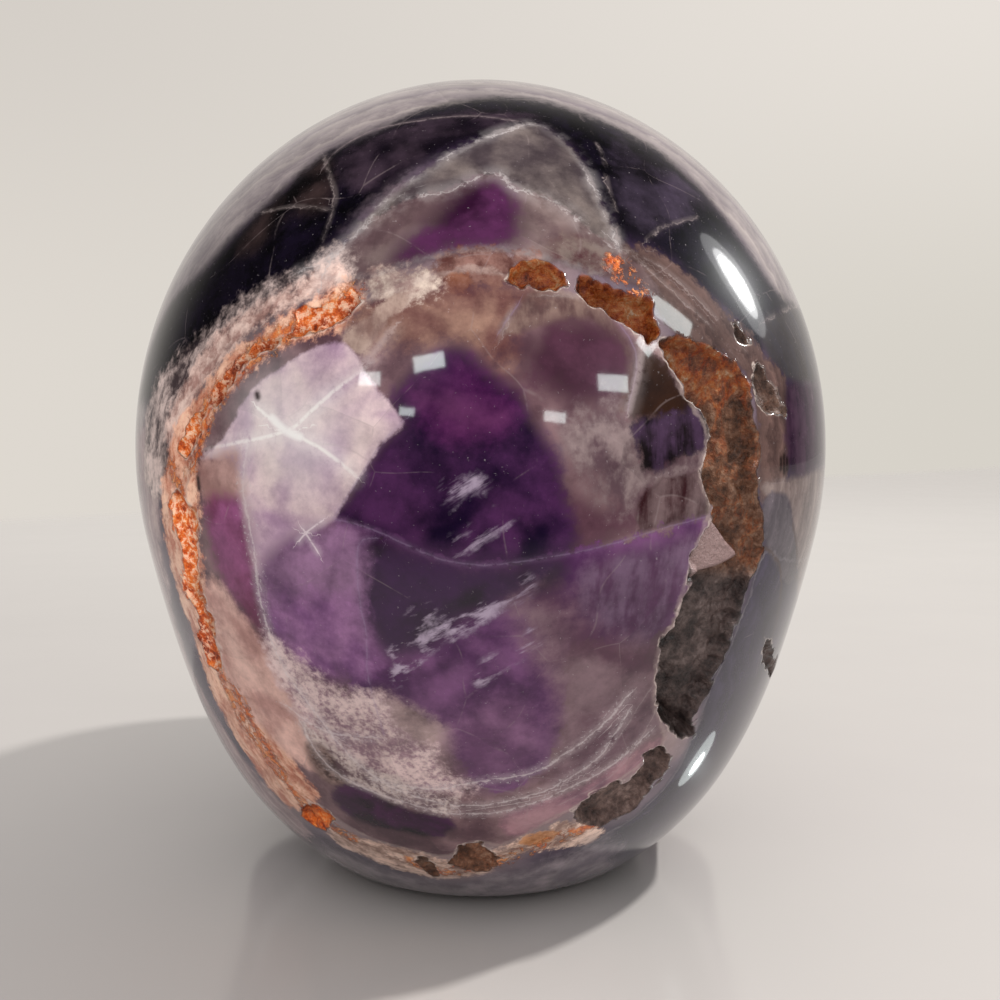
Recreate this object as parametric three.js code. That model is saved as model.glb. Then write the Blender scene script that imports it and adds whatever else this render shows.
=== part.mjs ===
import * as THREE from 'three';
import { mergeVertices } from 'three/addons/utils/BufferGeometryUtils.js';

// A skull carved from one piece of banded amethyst and polished all over, in millimetres.
// +Z is up, the face looks along -Y and the back of the skull along +Y. The stone stands on a
// flat base at z = 0, and its origin is the middle of its outline seen from above.
// The back has a ring of open breaks in the agate, which were left rough.

// Driving dimensions
const WIDTH = 92;
const LENGTH = 125;
const HEIGHT = 110;
const BASE_ROUNDING = 2.5;
const MOUTH_HEIGHT = 20.5;
const TOOTH_WIDTH = 4.7;

// Facets: the longest edges on each kind of surface, and how far a facet may stand off the stone
// before its edges are split, down to the shortest
const FACET = { smooth: 8, teeth: 2.4, breaks: 2.3, growth: 1.3, shortest: 2.1, error: 0.3 };
const FACET_PASSES = 5;
const SNAP = 0.35;

const Y_AXIS = new THREE.Vector3(0, 1, 0);
const Z_AXIS = new THREE.Vector3(0, 0, 1);
const ease = THREE.MathUtils.smoothstep;

// The rounded masses that make the form, in order: each one is added to or cut from those before
// it, and blended into them over the blend width. An ellipsoid has its middle, its half sizes and
// its turns in degrees; a rod has its two ends and its radius at each.
// Only the half with x > 0 is listed, and the form is mirrored across x = 0.
const MASSES = [
  { adds: 'rear vault', at: [0, LENGTH / 2 - 47.5, HEIGHT - 48.7], half: [WIDTH / 2, 47.5, 48.7], blend: 0 },
  { adds: 'forehead', at: [0, -13, 63], half: [37.5, 44, 42], blend: 14 },
  { adds: 'lower body', at: [0, 0.5, 34], half: [41.2, 44, 39], blend: 12 },
  { cuts: 'temple', at: [50, -26, 60], half: [13, 22, 18], blend: 9 },
  { adds: 'middle of the face', at: [0, -30, 47], half: [30, 28, 20], blend: 6 },
  { adds: 'upper jaw', at: [0, -38, 29], half: [20, 20.5, 16], blend: 5 },
  { adds: 'floor of the mouth', at: [0, -15, 15], half: [28, 27, 21], blend: 5 },
  { cuts: 'hollow of the cheek', at: [40, -36, 27], half: [15, 19, 8.5], yaw: 30, blend: 6 },
  { adds: 'brow', from: [4, -55, 63], to: [27, -46, 62], radii: [4, 3.4], blend: 7 },
  { adds: 'cheekbone', at: [27, -43, 40.5], half: [8, 8, 5.5], yaw: -35, blend: 5 },
  { adds: 'cheek arch', from: [30, -40, 41], to: [40.5, -9, 43], radii: [4.4, 3.4], blend: 6 },
  { adds: 'outer rim of the eye', from: [29, -43, 43], to: [29.5, -43, 58], radii: [3.6, 3.6], blend: 5 },
  { adds: 'lower jaw', at: [0, -39, 12], half: [19, 17, 13], blend: 4 },
  { adds: 'jaw line', from: [11, -47, 7], to: [30, -14, 11], radii: [7, 6.5], blend: 6 },
  { adds: 'jaw branch', from: [31, -13, 12], to: [36, -7, 40], radii: [5.6, 4.4], blend: 6 },
  { adds: 'chin', at: [0, -51, 7], half: [11, 6, 8], blend: 5 },
  { adds: 'nose bridge', from: [0, -55, 61], to: [0, -61.5, 50], radii: [3, 2.2], blend: 5 },
  { cuts: 'hollow behind the jaw', at: [46, 7, 20], half: [11, 9, 16], blend: 8 },
  { cuts: 'eye socket', at: [19.5, -60, 52.5], half: [12.6, 20.5, 10.8], yaw: 20, roll: -8, blend: 2.5 },
  { cuts: 'nostril', at: [3.6, -60, 38], half: [4.3, 10, 6.5], roll: 12, blend: 1.6 },
  { cuts: 'top of the nose opening', at: [0, -62, 43.5], half: [3.6, 9.5, 7.5], blend: 2 },
];

// The tooth rows bend round this upright axis; all heights are from the line of the mouth
const TEETH = { axis: -34, radius: 20.5, below: 8.5, above: 9, halfTurn: 1.15, back: -25 };
const TOOTH = { gap: 0.9, crown: 0.5, mouthLine: 1.7, mouthHalf: 0.8 };

// The point that every facet corner is placed outward from: the stone is whole round it
const HEART = new THREE.Vector3(0, 4, 51);

// A square picture of the back, 1000 pixels wide, in which the outlines of the breaks are given.
// The eye stands 195 behind the stone's middle, and turns are in degrees.
const PICTURE = { eye: new THREE.Vector3(0, 195, 69), down: 4.68, side: -0.8, focal: 1303, middle: 500 };
const SEEN_FROM_Y = 10;

// Each break has a steep edge, under which it is deepest, and a gentle edge, in picture pixels.
// Its depth and the width of its walls are in millimetres.
const BREAKS = [
  {
    name: 'orange pit over the middle',
    depth: 1.8, wall: 0.9,
    steep: [[503, 282], [528, 284], [544, 290], [557, 292], [567, 287]],
    gentle: [[510, 269], [530, 260], [549, 261], [564, 271]],
  },
  {
    name: 'deep pit right of the top',
    depth: 3.0, wall: 0.8,
    steep: [[574, 290], [588, 303], [604, 306], [614, 321], [630, 333], [641, 333], [649, 341]],
    gentle: [[579, 275], [600, 280], [625, 290], [651, 300], [650, 312], [658, 326], [656, 338]],
  },
  {
    name: 'great break on the right',
    depth: 4.2, wall: 0.9,
    steep: [
      [661, 341], [668, 366], [689, 398], [705, 415], [711, 436], [702, 478], [712, 508],
      [694, 554], [692, 577], [677, 616], [662, 645], [655, 699], [661, 720], [682, 740],
    ],
    gentle: [
      [678, 336], [706, 346], [740, 368], [754, 400], [758, 440], [758, 490], [764, 512],
      [763, 548], [752, 583], [733, 630], [716, 672], [698, 712], [692, 733],
    ],
  },
  {
    name: 'lower right break',
    depth: 2.6, wall: 0.8,
    steep: [[664, 747], [652, 751], [642, 762], [632, 778], [607, 788], [581, 801], [569, 810]],
    gentle: [[672, 756], [671, 768], [655, 786], [633, 808], [609, 822], [592, 828], [573, 818]],
  },
  {
    name: 'pit at the foot',
    depth: 1.8, wall: 0.8,
    steep: [[502, 857], [488, 847], [475, 843], [461, 848], [447, 864]],
    gentle: [[496, 867], [480, 872], [456, 869]],
  },
  {
    name: 'small pit at the foot',
    depth: 1.0, wall: 0.8,
    steep: [[439, 866], [428, 860], [413, 861]],
    gentle: [[438, 876], [427, 873], [417, 866]],
  },
  {
    name: 'pit low on the left',
    depth: 1.4, wall: 0.8,
    steep: [[334, 817], [318, 804], [304, 805]],
    gentle: [[328, 829], [314, 826], [301, 816]],
  },
  {
    name: 'groove down the left',
    depth: 0.9, wall: 0.8,
    steep: [
      [220, 672], [216, 640], [205, 603], [198, 592], [200, 557], [197, 520], [190, 502], [177, 489],
    ],
    gentle: [[207, 668], [203, 648], [196, 618], [184, 590], [182, 563], [176, 524], [167, 500]],
  },
  {
    name: 'groove round the upper left',
    depth: 0.9, wall: 0.8,
    steep: [
      [191, 461], [200, 440], [205, 419], [222, 397], [241, 370],
      [260, 354], [300, 336], [326, 332], [345, 319], [363, 301],
    ],
    gentle: [
      [179, 450], [184, 432], [202, 406], [223, 374], [254, 348],
      [289, 329], [297, 311], [330, 304], [352, 288],
    ],
  },
  {
    name: 'slot on the right shoulder',
    depth: 1.2, wall: 0.7,
    steep: [[732, 323], [735, 338], [744, 347]],
    gentle: [[737, 322], [745, 334], [751, 345]],
  },
  {
    name: 'recess on the right shoulder',
    depth: 1.2, wall: 0.7,
    steep: [[754, 362], [754, 385], [757, 405], [772, 416]],
    gentle: [[762, 366], [772, 380], [781, 396], [785, 413]],
  },
  {
    name: 'crystal pit on the right',
    depth: 1.2, wall: 0.7,
    steep: [[767, 640], [761, 659], [771, 677]],
    gentle: [[775, 638], [781, 655], [778, 670]],
  },
];

// Smooth blends of distances: join adds the mass b to a, cut takes it away
function join(a, b, blend) {
  if (blend === 0) {
    return Math.min(a, b);
  }
  const h = THREE.MathUtils.clamp(0.5 + 0.5 * (b - a) / blend, 0, 1);
  return b + (a - b) * h - blend * h * (1 - h);
}

function cut(a, b, blend) {
  return -join(-a, b, blend);
}

// The distance from a point to an ellipsoid: near enough to the surface, and below zero inside
function ellipsoid(point, { at, half, yaw = 0, roll = 0 }) {
  const turn = new THREE.Vector3(point.x - at[0], point.y - at[1], point.z - at[2]);
  turn.applyAxisAngle(Z_AXIS, -THREE.MathUtils.degToRad(yaw));
  turn.applyAxisAngle(Y_AXIS, -THREE.MathUtils.degToRad(roll));
  const scaled = Math.hypot(turn.x / half[0], turn.y / half[1], turn.z / half[2]);
  const slope = Math.hypot(turn.x / half[0] ** 2, turn.y / half[1] ** 2, turn.z / half[2] ** 2);
  return scaled * (scaled - 1) / (slope + 1e-9);
}

// The distance from a point to a rod with a round end of its own radius at each end
function rod(point, { from, to, radii }) {
  const start = new THREE.Vector3(...from);
  const line = new THREE.Vector3(...to).sub(start);
  const offset = point.clone().sub(start);
  const along = THREE.MathUtils.clamp(offset.dot(line) / line.lengthSq(), 0, 1);
  const radius = radii[0] + (radii[1] - radii[0]) * along;
  return offset.addScaledVector(line, -along).length() - radius;
}

// The masses, joined and cut in order
function carvedForm(point) {
  const mirrored = new THREE.Vector3(Math.abs(point.x), point.y, point.z);
  let distance = Infinity;
  for (const mass of MASSES) {
    const other = mass.from ? rod(mirrored, mass) : ellipsoid(mirrored, mass);
    distance = mass.cuts ? cut(distance, other, mass.blend) : join(distance, other, mass.blend);
  }
  return distance;
}

// How far the tooth rows stand back from the jaws at a point: gaps and the mouth line cut in,
// and the middle of each crown swells
function toothRelief(point) {
  if (point.y > TEETH.back) {
    return 0;
  }
  const turn = Math.atan2(Math.abs(point.x), TEETH.axis - point.y);
  const across = Math.abs(Math.sin(Math.PI * turn * TEETH.radius / TOOTH_WIDTH));
  const height = point.z - MOUTH_HEIGHT;
  const rows = ease(height, -TEETH.below - 1, -TEETH.below + 1)
    * (1 - ease(height, TEETH.above - 1, TEETH.above + 1))
    * (1 - ease(turn, TEETH.halfTurn - 0.1, TEETH.halfTurn + 0.1));
  const mouth = Math.exp(-((height / TOOTH.mouthHalf) ** 2));
  const gaps = rows * TOOTH.gap * (1 - ease(across, 0, 0.5)) * (1 - 0.3 * mouth);
  const lips = TOOTH.mouthLine * mouth * (1 - ease(turn, TEETH.halfTurn, TEETH.halfTurn + 0.15));
  const crowns = rows * TOOTH.crown * across ** 2 * (1 - mouth);
  return gaps + lips - crowns;
}

// The distance from a point to the polished surface, with the flat base at z = 0
function polishedForm(point) {
  return cut(carvedForm(point) + toothRelief(point), point.z, BASE_ROUNDING);
}

// The first way out of the stone from its heart, in a direction of length 1
function radiusAlong(direction) {
  const point = new THREE.Vector3();
  const inside = (r) => polishedForm(point.copy(HEART).addScaledVector(direction, r));
  let within = 12;
  let beyond = within;
  let distance = inside(beyond);
  while (distance < 0) {
    within = beyond;
    beyond += THREE.MathUtils.clamp(-0.7 * distance, 0.25, 6);
    distance = inside(beyond);
  }
  for (let i = 0; i < 18; i += 1) {
    const middle = (within + beyond) / 2;
    if (inside(middle) < 0) {
      within = middle;
    } else {
      beyond = middle;
    }
  }
  return within;
}

// The corner of the polished stone that lies outward of a place
function ontoStone(place) {
  const direction = place.clone().sub(HEART).normalize();
  return direction.multiplyScalar(radiusAlong(direction)).add(HEART);
}

const down = THREE.MathUtils.degToRad(PICTURE.down);
const side = THREE.MathUtils.degToRad(PICTURE.side);
const forward = new THREE.Vector3(
  Math.sin(side) * Math.cos(down),
  -Math.cos(side) * Math.cos(down),
  -Math.sin(down),
);
const right = forward.clone().cross(Z_AXIS).normalize();
const up = right.clone().cross(forward);

// Where a point of the stone shows in the picture, and how many pixels a millimetre takes there
function inPicture(point) {
  const offset = point.clone().sub(PICTURE.eye);
  const scale = PICTURE.focal / offset.dot(forward);
  const u = PICTURE.middle + scale * offset.dot(right);
  const v = PICTURE.middle - scale * offset.dot(up);
  return { pixel: new THREE.Vector2(u, v), scale };
}

// The point of the stone that shows at a pixel, near a point that is known to show close by
function fromPicture(pixel, near) {
  const depth = near.clone().sub(PICTURE.eye).dot(forward);
  const place = near.clone();
  for (let i = 0; i < 4; i += 1) {
    const away = inPicture(place);
    place.addScaledVector(right, (pixel.x - away.pixel.x) * depth / PICTURE.focal);
    place.addScaledVector(up, (away.pixel.y - pixel.y) * depth / PICTURE.focal);
    place.copy(ontoStone(place));
  }
  return place;
}

// A smooth line through the points of an edge
function smoothLine(points) {
  const curve = new THREE.SplineCurve(points.map(([u, v]) => new THREE.Vector2(u, v)));
  return curve.getPoints(points.length * 4);
}

function nearestOnLine(pixel, line) {
  let best = { distance: Infinity };
  for (let i = 1; i < line.length; i += 1) {
    const step = line[i].clone().sub(line[i - 1]);
    const offset = pixel.clone().sub(line[i - 1]);
    const along = THREE.MathUtils.clamp(offset.dot(step) / step.lengthSq(), 0, 1);
    const place = line[i - 1].clone().addScaledVector(step, along);
    const distance = place.distanceTo(pixel);
    if (distance < best.distance) {
      best = { distance, place };
    }
  }
  return best;
}

function isInside(pixel, outline) {
  let inside = false;
  for (let i = 0, j = outline.length - 1; i < outline.length; j = i, i += 1) {
    const a = outline[i];
    const b = outline[j];
    const crosses = (a.y > pixel.y) !== (b.y > pixel.y);
    if (crosses && pixel.x < a.x + (b.x - a.x) * (pixel.y - a.y) / (b.y - a.y)) {
      inside = !inside;
    }
  }
  return inside;
}

const breaks = BREAKS.map((item) => {
  const steep = smoothLine(item.steep);
  const gentle = smoothLine(item.gentle);
  const outline = [...steep, ...gentle.toReversed()];
  return { ...item, steep, gentle, outline, rim: [...outline, outline[0]] };
});

// The break that a point of the stone lies in or is nearest to, and its distance inside the rim
function nearestBreak(point) {
  if (point.y < SEEN_FROM_Y) {
    return null;
  }
  const { pixel, scale } = inPicture(point);
  let best = null;
  for (const item of breaks) {
    const rim = nearestOnLine(pixel, item.rim);
    const inward = (isInside(pixel, item.outline) ? 1 : -1) * rim.distance / scale;
    if (best === null || inward > best.inward) {
      best = { item, inward, pixel, scale, rimPixel: rim.place };
    }
  }
  return best;
}

// A lumpy pattern between -1 and 1 for the rough floors
function lumps(point) {
  const wide = Math.sin(1.9 * point.x + 0.7 * point.z) * Math.sin(1.3 * point.y - 1.7 * point.z);
  const fine = Math.sin(3.7 * point.x - 2.9 * point.z) * Math.sin(3.1 * point.z + 2.3 * point.y);
  return 0.6 * wide + 0.4 * fine;
}

// How deep the breaks go at a point of the polished surface
function breakDepth(point) {
  const found = nearestBreak(point);
  if (found === null || found.inward <= 0) {
    return 0;
  }
  const { item, inward, pixel } = found;
  const fromSteep = nearestOnLine(pixel, item.steep).distance;
  const fromGentle = nearestOnLine(pixel, item.gentle).distance;
  const across = fromSteep / (fromSteep + fromGentle);
  const floor = item.depth * (1 - 0.65 * across) * (1 + 0.3 * lumps(point));
  return floor * ease(inward, 0, item.wall);
}

// The longest edge that a facet may have at a place
function longestEdge(point) {
  const found = nearestBreak(point);
  const fromBreak = found === null ? Infinity : Math.max(0, -found.inward);
  const onTeeth = point.y < -38 && Math.abs(point.z - MOUTH_HEIGHT) < TEETH.above;
  return Math.min(onTeeth ? FACET.teeth : FACET.smooth, FACET.breaks + FACET.growth * fromBreak);
}

// A corner of the facets: its place on the polished stone, and on the stone with its breaks
function cornerAt(place) {
  const polished = ontoStone(place);
  const inward = HEART.clone().sub(polished).normalize();
  return { polished, carved: polished.clone().addScaledVector(inward, breakDepth(polished)) };
}

function isTooLong(a, b, middle) {
  const length = a.polished.distanceTo(b.polished);
  const error = a.carved.clone().lerp(b.carved, 0.5).distanceTo(middle.carved);
  return length > longestEdge(middle.polished) || (length > FACET.shortest && error > FACET.error);
}

// Splits every edge that is longer than it should be, and puts the new corners on the stone
function refine(corners, faces) {
  const middles = new Map();
  const middleOf = (i, j) => {
    const key = i < j ? `${i} ${j}` : `${j} ${i}`;
    if (!middles.has(key)) {
      const middle = cornerAt(corners[i].polished.clone().lerp(corners[j].polished, 0.5));
      middles.set(key, isTooLong(corners[i], corners[j], middle) ? corners.push(middle) - 1 : null);
    }
    return middles.get(key);
  };
  return faces.flatMap((face) => {
    const [a, b, c] = face;
    return splitFace(face, [middleOf(a, b), middleOf(b, c), middleOf(c, a)], corners);
  });
}

function diagonal(a, b) {
  return a.carved.distanceTo(b.carved);
}

// The faces that one face becomes when some of its edges have a middle corner
function splitFace(face, middles, corners) {
  const count = middles.filter((middle) => middle !== null).length;
  if (count === 0) {
    return [face];
  }
  const [a, b, c] = face;
  const [ab, bc, ca] = middles;
  if (count === 3) {
    return [[a, ab, ca], [ab, b, bc], [ca, bc, c], [ab, bc, ca]];
  }
  const turned = count === 1 ? ab === null : ca !== null;
  if (turned) {
    return splitFace([b, c, a], [bc, ca, ab], corners);
  }
  if (count === 1) {
    return [[a, ab, c], [ab, b, c]];
  }
  const shortWay = diagonal(corners[a], corners[bc]) < diagonal(corners[ab], corners[c]);
  const rest = shortWay ? [[a, ab, bc], [a, bc, c]] : [[a, ab, c], [ab, bc, c]];
  return [[ab, b, bc], ...rest];
}

// Corners that lie close to the rim of a break are moved onto it, so that the rim is a clean line
function snappedToRim(corner) {
  const found = nearestBreak(corner.polished);
  if (found === null || Math.abs(found.inward) > SNAP) {
    return corner;
  }
  return cornerAt(fromPicture(found.rimPixel, corner.polished));
}

function makeSkull() {
  const start = new THREE.IcosahedronGeometry(HEIGHT / 2, 8);
  start.deleteAttribute('normal');
  start.deleteAttribute('uv');
  const geometry = mergeVertices(start);
  const places = geometry.getAttribute('position');
  const corners = [];
  for (let i = 0; i < places.count; i += 1) {
    corners.push(cornerAt(new THREE.Vector3().fromBufferAttribute(places, i).add(HEART)));
  }
  const order = geometry.getIndex();
  let faces = [];
  for (let i = 0; i < order.count; i += 3) {
    faces.push([order.getX(i), order.getX(i + 1), order.getX(i + 2)]);
  }
  for (let pass = 0; pass < FACET_PASSES; pass += 1) {
    faces = refine(corners, faces);
  }
  return stoneGeometry(corners.map(snappedToRim).map((corner) => corner.carved), faces);
}

// The closed surface, moved so that the origin is under the middle of its outline
function stoneGeometry(corners, faces) {
  const geometry = new THREE.BufferGeometry().setFromPoints(corners);
  geometry.setIndex(faces.flat());
  geometry.computeBoundingBox();
  const { min, max } = geometry.boundingBox;
  geometry.translate(-(min.x + max.x) / 2, -(min.y + max.y) / 2, -min.z);
  geometry.computeVertexNormals();
  return geometry;
}

const amethyst = new THREE.MeshStandardMaterial({ color: 0x5d4a68, roughness: 0.1, metalness: 0 });

const skull = new THREE.Mesh(makeSkull(), amethyst);
skull.name = 'skull';

const part = new THREE.Group();
part.add(skull);

export default part;
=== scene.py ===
import math

import bmesh
import bpy
import numpy as np
from mathutils import Matrix, Vector


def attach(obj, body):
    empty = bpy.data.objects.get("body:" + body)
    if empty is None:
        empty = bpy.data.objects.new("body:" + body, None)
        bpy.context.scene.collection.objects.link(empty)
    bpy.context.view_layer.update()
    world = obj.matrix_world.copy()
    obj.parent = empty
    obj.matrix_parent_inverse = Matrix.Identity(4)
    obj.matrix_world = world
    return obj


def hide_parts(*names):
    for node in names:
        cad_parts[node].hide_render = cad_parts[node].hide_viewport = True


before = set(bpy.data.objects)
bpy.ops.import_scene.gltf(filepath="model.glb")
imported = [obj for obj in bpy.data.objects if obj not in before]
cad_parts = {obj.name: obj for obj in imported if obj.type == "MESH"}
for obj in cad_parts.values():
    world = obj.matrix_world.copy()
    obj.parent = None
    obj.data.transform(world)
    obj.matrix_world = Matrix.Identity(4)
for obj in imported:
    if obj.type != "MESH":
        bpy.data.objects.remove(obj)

# The carved stone is worked out in millimetres, in the frame of the CAD part, and its mesh is
# made in metres. Angles are in degrees. Colours are as a screen shows them, from 0 to 255.
MM = 0.001
WIDTH = 92.0
LENGTH = 125.0
HEIGHT = 110.0
BASE_ROUNDING = 2.5
MOUTH_HEIGHT = 20.5
TOOTH_WIDTH = 4.7
HEART = np.array([0.0, 4.0, 51.0])

# The longest edges of the mesh on each kind of surface, in millimetres, and how much longer they
# may get with each millimetre away from a line or a break
EDGES = {"smooth": 2.3, "back": 1.15, "face": 1.15, "lines": 0.5, "breaks": 0.3}
EDGE_GROWTH = 0.9

# The face lies in front of this Y and between these heights
FACE_FRONT = -25.0
FACE_HEIGHTS = (2.0, 72.0)

# The mesh starts as a ball of triangles, and its long edges are split this many times
BALL_SUBDIVISIONS = 6
SPLITTING_ROUNDS = 4

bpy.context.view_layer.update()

# The rounded masses that make the form, as in the CAD part: each is added to or cut from those
# before it. Only the half with x > 0 is listed, and the form is mirrored across x = 0.
MASSES = [
    dict(adds="rear vault", at=(0, LENGTH / 2 - 47.5, HEIGHT - 48.7), half=(WIDTH / 2, 47.5, 48.7), blend=0),
    dict(adds="forehead", at=(0, -13, 63), half=(37.5, 44, 42), blend=14),
    dict(adds="lower body", at=(0, 0.5, 34), half=(41.2, 44, 39), blend=12),
    dict(cuts="temple", at=(50, -26, 60), half=(13, 22, 18), blend=9),
    dict(adds="middle of the face", at=(0, -30, 47), half=(30, 28, 20), blend=6),
    dict(adds="upper jaw", at=(0, -38, 29), half=(20, 20.5, 16), blend=5),
    dict(adds="floor of the mouth", at=(0, -15, 15), half=(28, 27, 21), blend=5),
    dict(cuts="hollow of the cheek", at=(40, -36, 27), half=(15, 19, 8.5), yaw=30, blend=6),
    dict(adds="brow", start=(4, -55, 63), end=(27, -46, 62), radii=(4, 3.4), blend=7),
    dict(adds="cheekbone", at=(27, -43, 40.5), half=(8, 8, 5.5), yaw=-35, blend=5),
    dict(adds="cheek arch", start=(30, -40, 41), end=(40.5, -9, 43), radii=(4.4, 3.4), blend=6),
    dict(adds="outer rim of the eye", start=(29, -43, 43), end=(29.5, -43, 58), radii=(3.6, 3.6), blend=5),
    dict(adds="lower jaw", at=(0, -39, 12), half=(19, 17, 13), blend=4),
    dict(adds="jaw line", start=(11, -47, 7), end=(30, -14, 11), radii=(7, 6.5), blend=6),
    dict(adds="jaw branch", start=(31, -13, 12), end=(36, -7, 40), radii=(5.6, 4.4), blend=6),
    dict(adds="chin", at=(0, -51, 7), half=(11, 6, 8), blend=5),
    dict(adds="nose bridge", start=(0, -55, 61), end=(0, -61.5, 50), radii=(3, 2.2), blend=5),
    dict(cuts="hollow behind the jaw", at=(46, 7, 20), half=(11, 9, 16), blend=8),
    dict(cuts="eye socket", at=(19.5, -60, 52.5), half=(12.6, 20.5, 10.8), yaw=20, roll=-8, blend=2.5),
    dict(cuts="nostril", at=(3.6, -60, 38), half=(4.3, 10, 6.5), roll=12, blend=1.6),
    dict(cuts="top of the nose opening", at=(0, -62, 43.5), half=(3.6, 9.5, 7.5), blend=2),
]

# The rows of teeth stand round an upright axis. Heights are from the mouth line, and the half turn
# is in radians.
TEETH = dict(axis=-34, radius=20.5, below=8.5, above=9, half_turn=1.15, back=-25)
TOOTH = dict(gap=0.9, crown=0.5, mouth_line=1.7, mouth_half=0.8)

# The photograph: a square of 1000 pixels, taken from 195 mm behind the middle of the stone. What is
# seen in it lies beyond this Y, and between these distances from the camera.
EYE = np.array([0.0, 195.0, 69.0])
LOOK_DOWN = math.radians(4.68)
LOOK_SIDE = math.radians(-0.8)
FOCAL = 1303.0
MIDDLE = 500.0
SEEN_FROM_Y = 10.0
STONE_NEAREST = 110.0
STONE_FARTHEST = 230.0
FORWARD = np.array([
    math.sin(LOOK_SIDE) * math.cos(LOOK_DOWN),
    -math.cos(LOOK_SIDE) * math.cos(LOOK_DOWN),
    -math.sin(LOOK_DOWN),
])
RIGHT = np.cross(FORWARD, (0, 0, 1)) / math.cos(LOOK_DOWN)
UP = np.cross(RIGHT, FORWARD)

# The open breaks, in pixels of the photograph, with their depth and the width of their walls in
# millimetres. Rust is how orange the floor is, from grey-brown rock at 0, and lit is painted light
# and shade: the floor's colour is scaled by how much of the light of the open surface it gets.
BREAKS = [
    dict(
        name="orange pit over the middle", depth=1.8, wall=0.7, rust=0.8, lit=0.5,
        steep=[(503, 282), (528, 284), (544, 290), (557, 292), (567, 287)],
        gentle=[(510, 269), (530, 260), (549, 261), (564, 271)],
    ),
    dict(
        name="deep pit right of the top", depth=3.0, wall=0.6, rust=0.75, lit=0.45,
        steep=[(574, 290), (588, 303), (604, 306), (614, 321), (630, 333), (641, 333), (649, 341)],
        gentle=[(579, 275), (600, 280), (625, 290), (651, 300), (650, 312), (658, 326), (656, 338)],
    ),
    dict(
        name="great break on the right", depth=4.2, wall=0.7, rust=0.55, lit=0.48,
        steep=[
            (661, 341), (668, 366), (689, 398), (705, 415), (711, 436), (702, 478), (712, 508),
            (694, 554), (692, 577), (677, 616), (662, 645), (655, 699), (661, 720), (682, 740),
        ],
        gentle=[
            (678, 336), (706, 346), (740, 368), (754, 400), (758, 440), (758, 490), (764, 512),
            (763, 548), (752, 583), (733, 630), (716, 672), (698, 712), (692, 733),
        ],
    ),
    dict(
        name="lower right break", depth=2.6, wall=0.6, rust=0.12, lit=0.75,
        steep=[(664, 747), (652, 751), (642, 762), (632, 778), (607, 788), (581, 801), (569, 810)],
        gentle=[(672, 756), (671, 768), (655, 786), (633, 808), (609, 822), (592, 828), (573, 818)],
    ),
    dict(
        name="pit at the foot", depth=1.8, wall=0.6, rust=0.3, lit=0.8,
        steep=[(502, 857), (488, 847), (475, 843), (461, 848), (447, 864)],
        gentle=[(496, 867), (480, 872), (456, 869)],
    ),
    dict(
        name="small pit at the foot", depth=1.0, wall=0.6, rust=0.3, lit=0.6,
        steep=[(439, 866), (428, 860), (413, 861)],
        gentle=[(438, 876), (427, 873), (417, 866)],
    ),
    dict(
        name="pit low on the left", depth=1.4, wall=0.6, rust=0.7, lit=1.4,
        steep=[(334, 817), (318, 804), (304, 805)],
        gentle=[(328, 829), (314, 826), (301, 816)],
    ),
    dict(
        name="groove down the left", depth=0.9, wall=0.5, rust=1.0, lit=1.65,
        steep=[
            (220, 672), (216, 640), (205, 603), (198, 592), (200, 557), (197, 520), (190, 502), (177, 489),
        ],
        gentle=[(207, 668), (203, 648), (196, 618), (184, 590), (182, 563), (176, 524), (167, 500)],
    ),
    dict(
        name="groove round the upper left", depth=0.9, wall=0.5, rust=1.0, lit=1.35,
        steep=[
            (191, 461), (200, 440), (205, 419), (222, 397), (241, 370),
            (260, 354), (300, 336), (326, 332), (345, 319), (363, 301),
        ],
        gentle=[
            (179, 450), (184, 432), (202, 406), (223, 374), (254, 348),
            (289, 329), (297, 311), (330, 304), (352, 288),
        ],
    ),
    dict(
        name="slot on the right shoulder", depth=1.2, wall=0.4, rust=0.2, lit=0.5,
        steep=[(732, 323), (735, 338), (744, 347)],
        gentle=[(737, 322), (745, 334), (751, 345)],
    ),
    dict(
        name="recess on the right shoulder", depth=1.2, wall=0.5, rust=0.2, lit=0.45,
        steep=[(754, 362), (754, 385), (757, 405), (772, 416)],
        gentle=[(762, 366), (772, 380), (781, 396), (785, 413)],
    ),
    dict(
        name="crystal pit on the right", depth=1.2, wall=0.5, rust=0.1, lit=0.6,
        steep=[(767, 640), (761, 659), (771, 677)],
        gentle=[(771, 640), (775, 656), (774, 668)],
    ),
]

# The great break is grey rock at its foot. Going up, it gets more orange between pairs of rows of
# the photograph, each pair with how much it adds. A flat ledge of paler stone stands in it.
GREAT_BREAK = "great break on the right"
FOOT_RUST = 0.06
RUST_RISES = [(590, 555, 0.3), (430, 370, 0.25)]
LEDGE_DEPTH = 1.3
LEDGE_EDGE = (-3, 4)
# Painted light: how much is added to the ledge's lit value, which makes it lighter
LEDGE_LIGHT = 0.4

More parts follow.
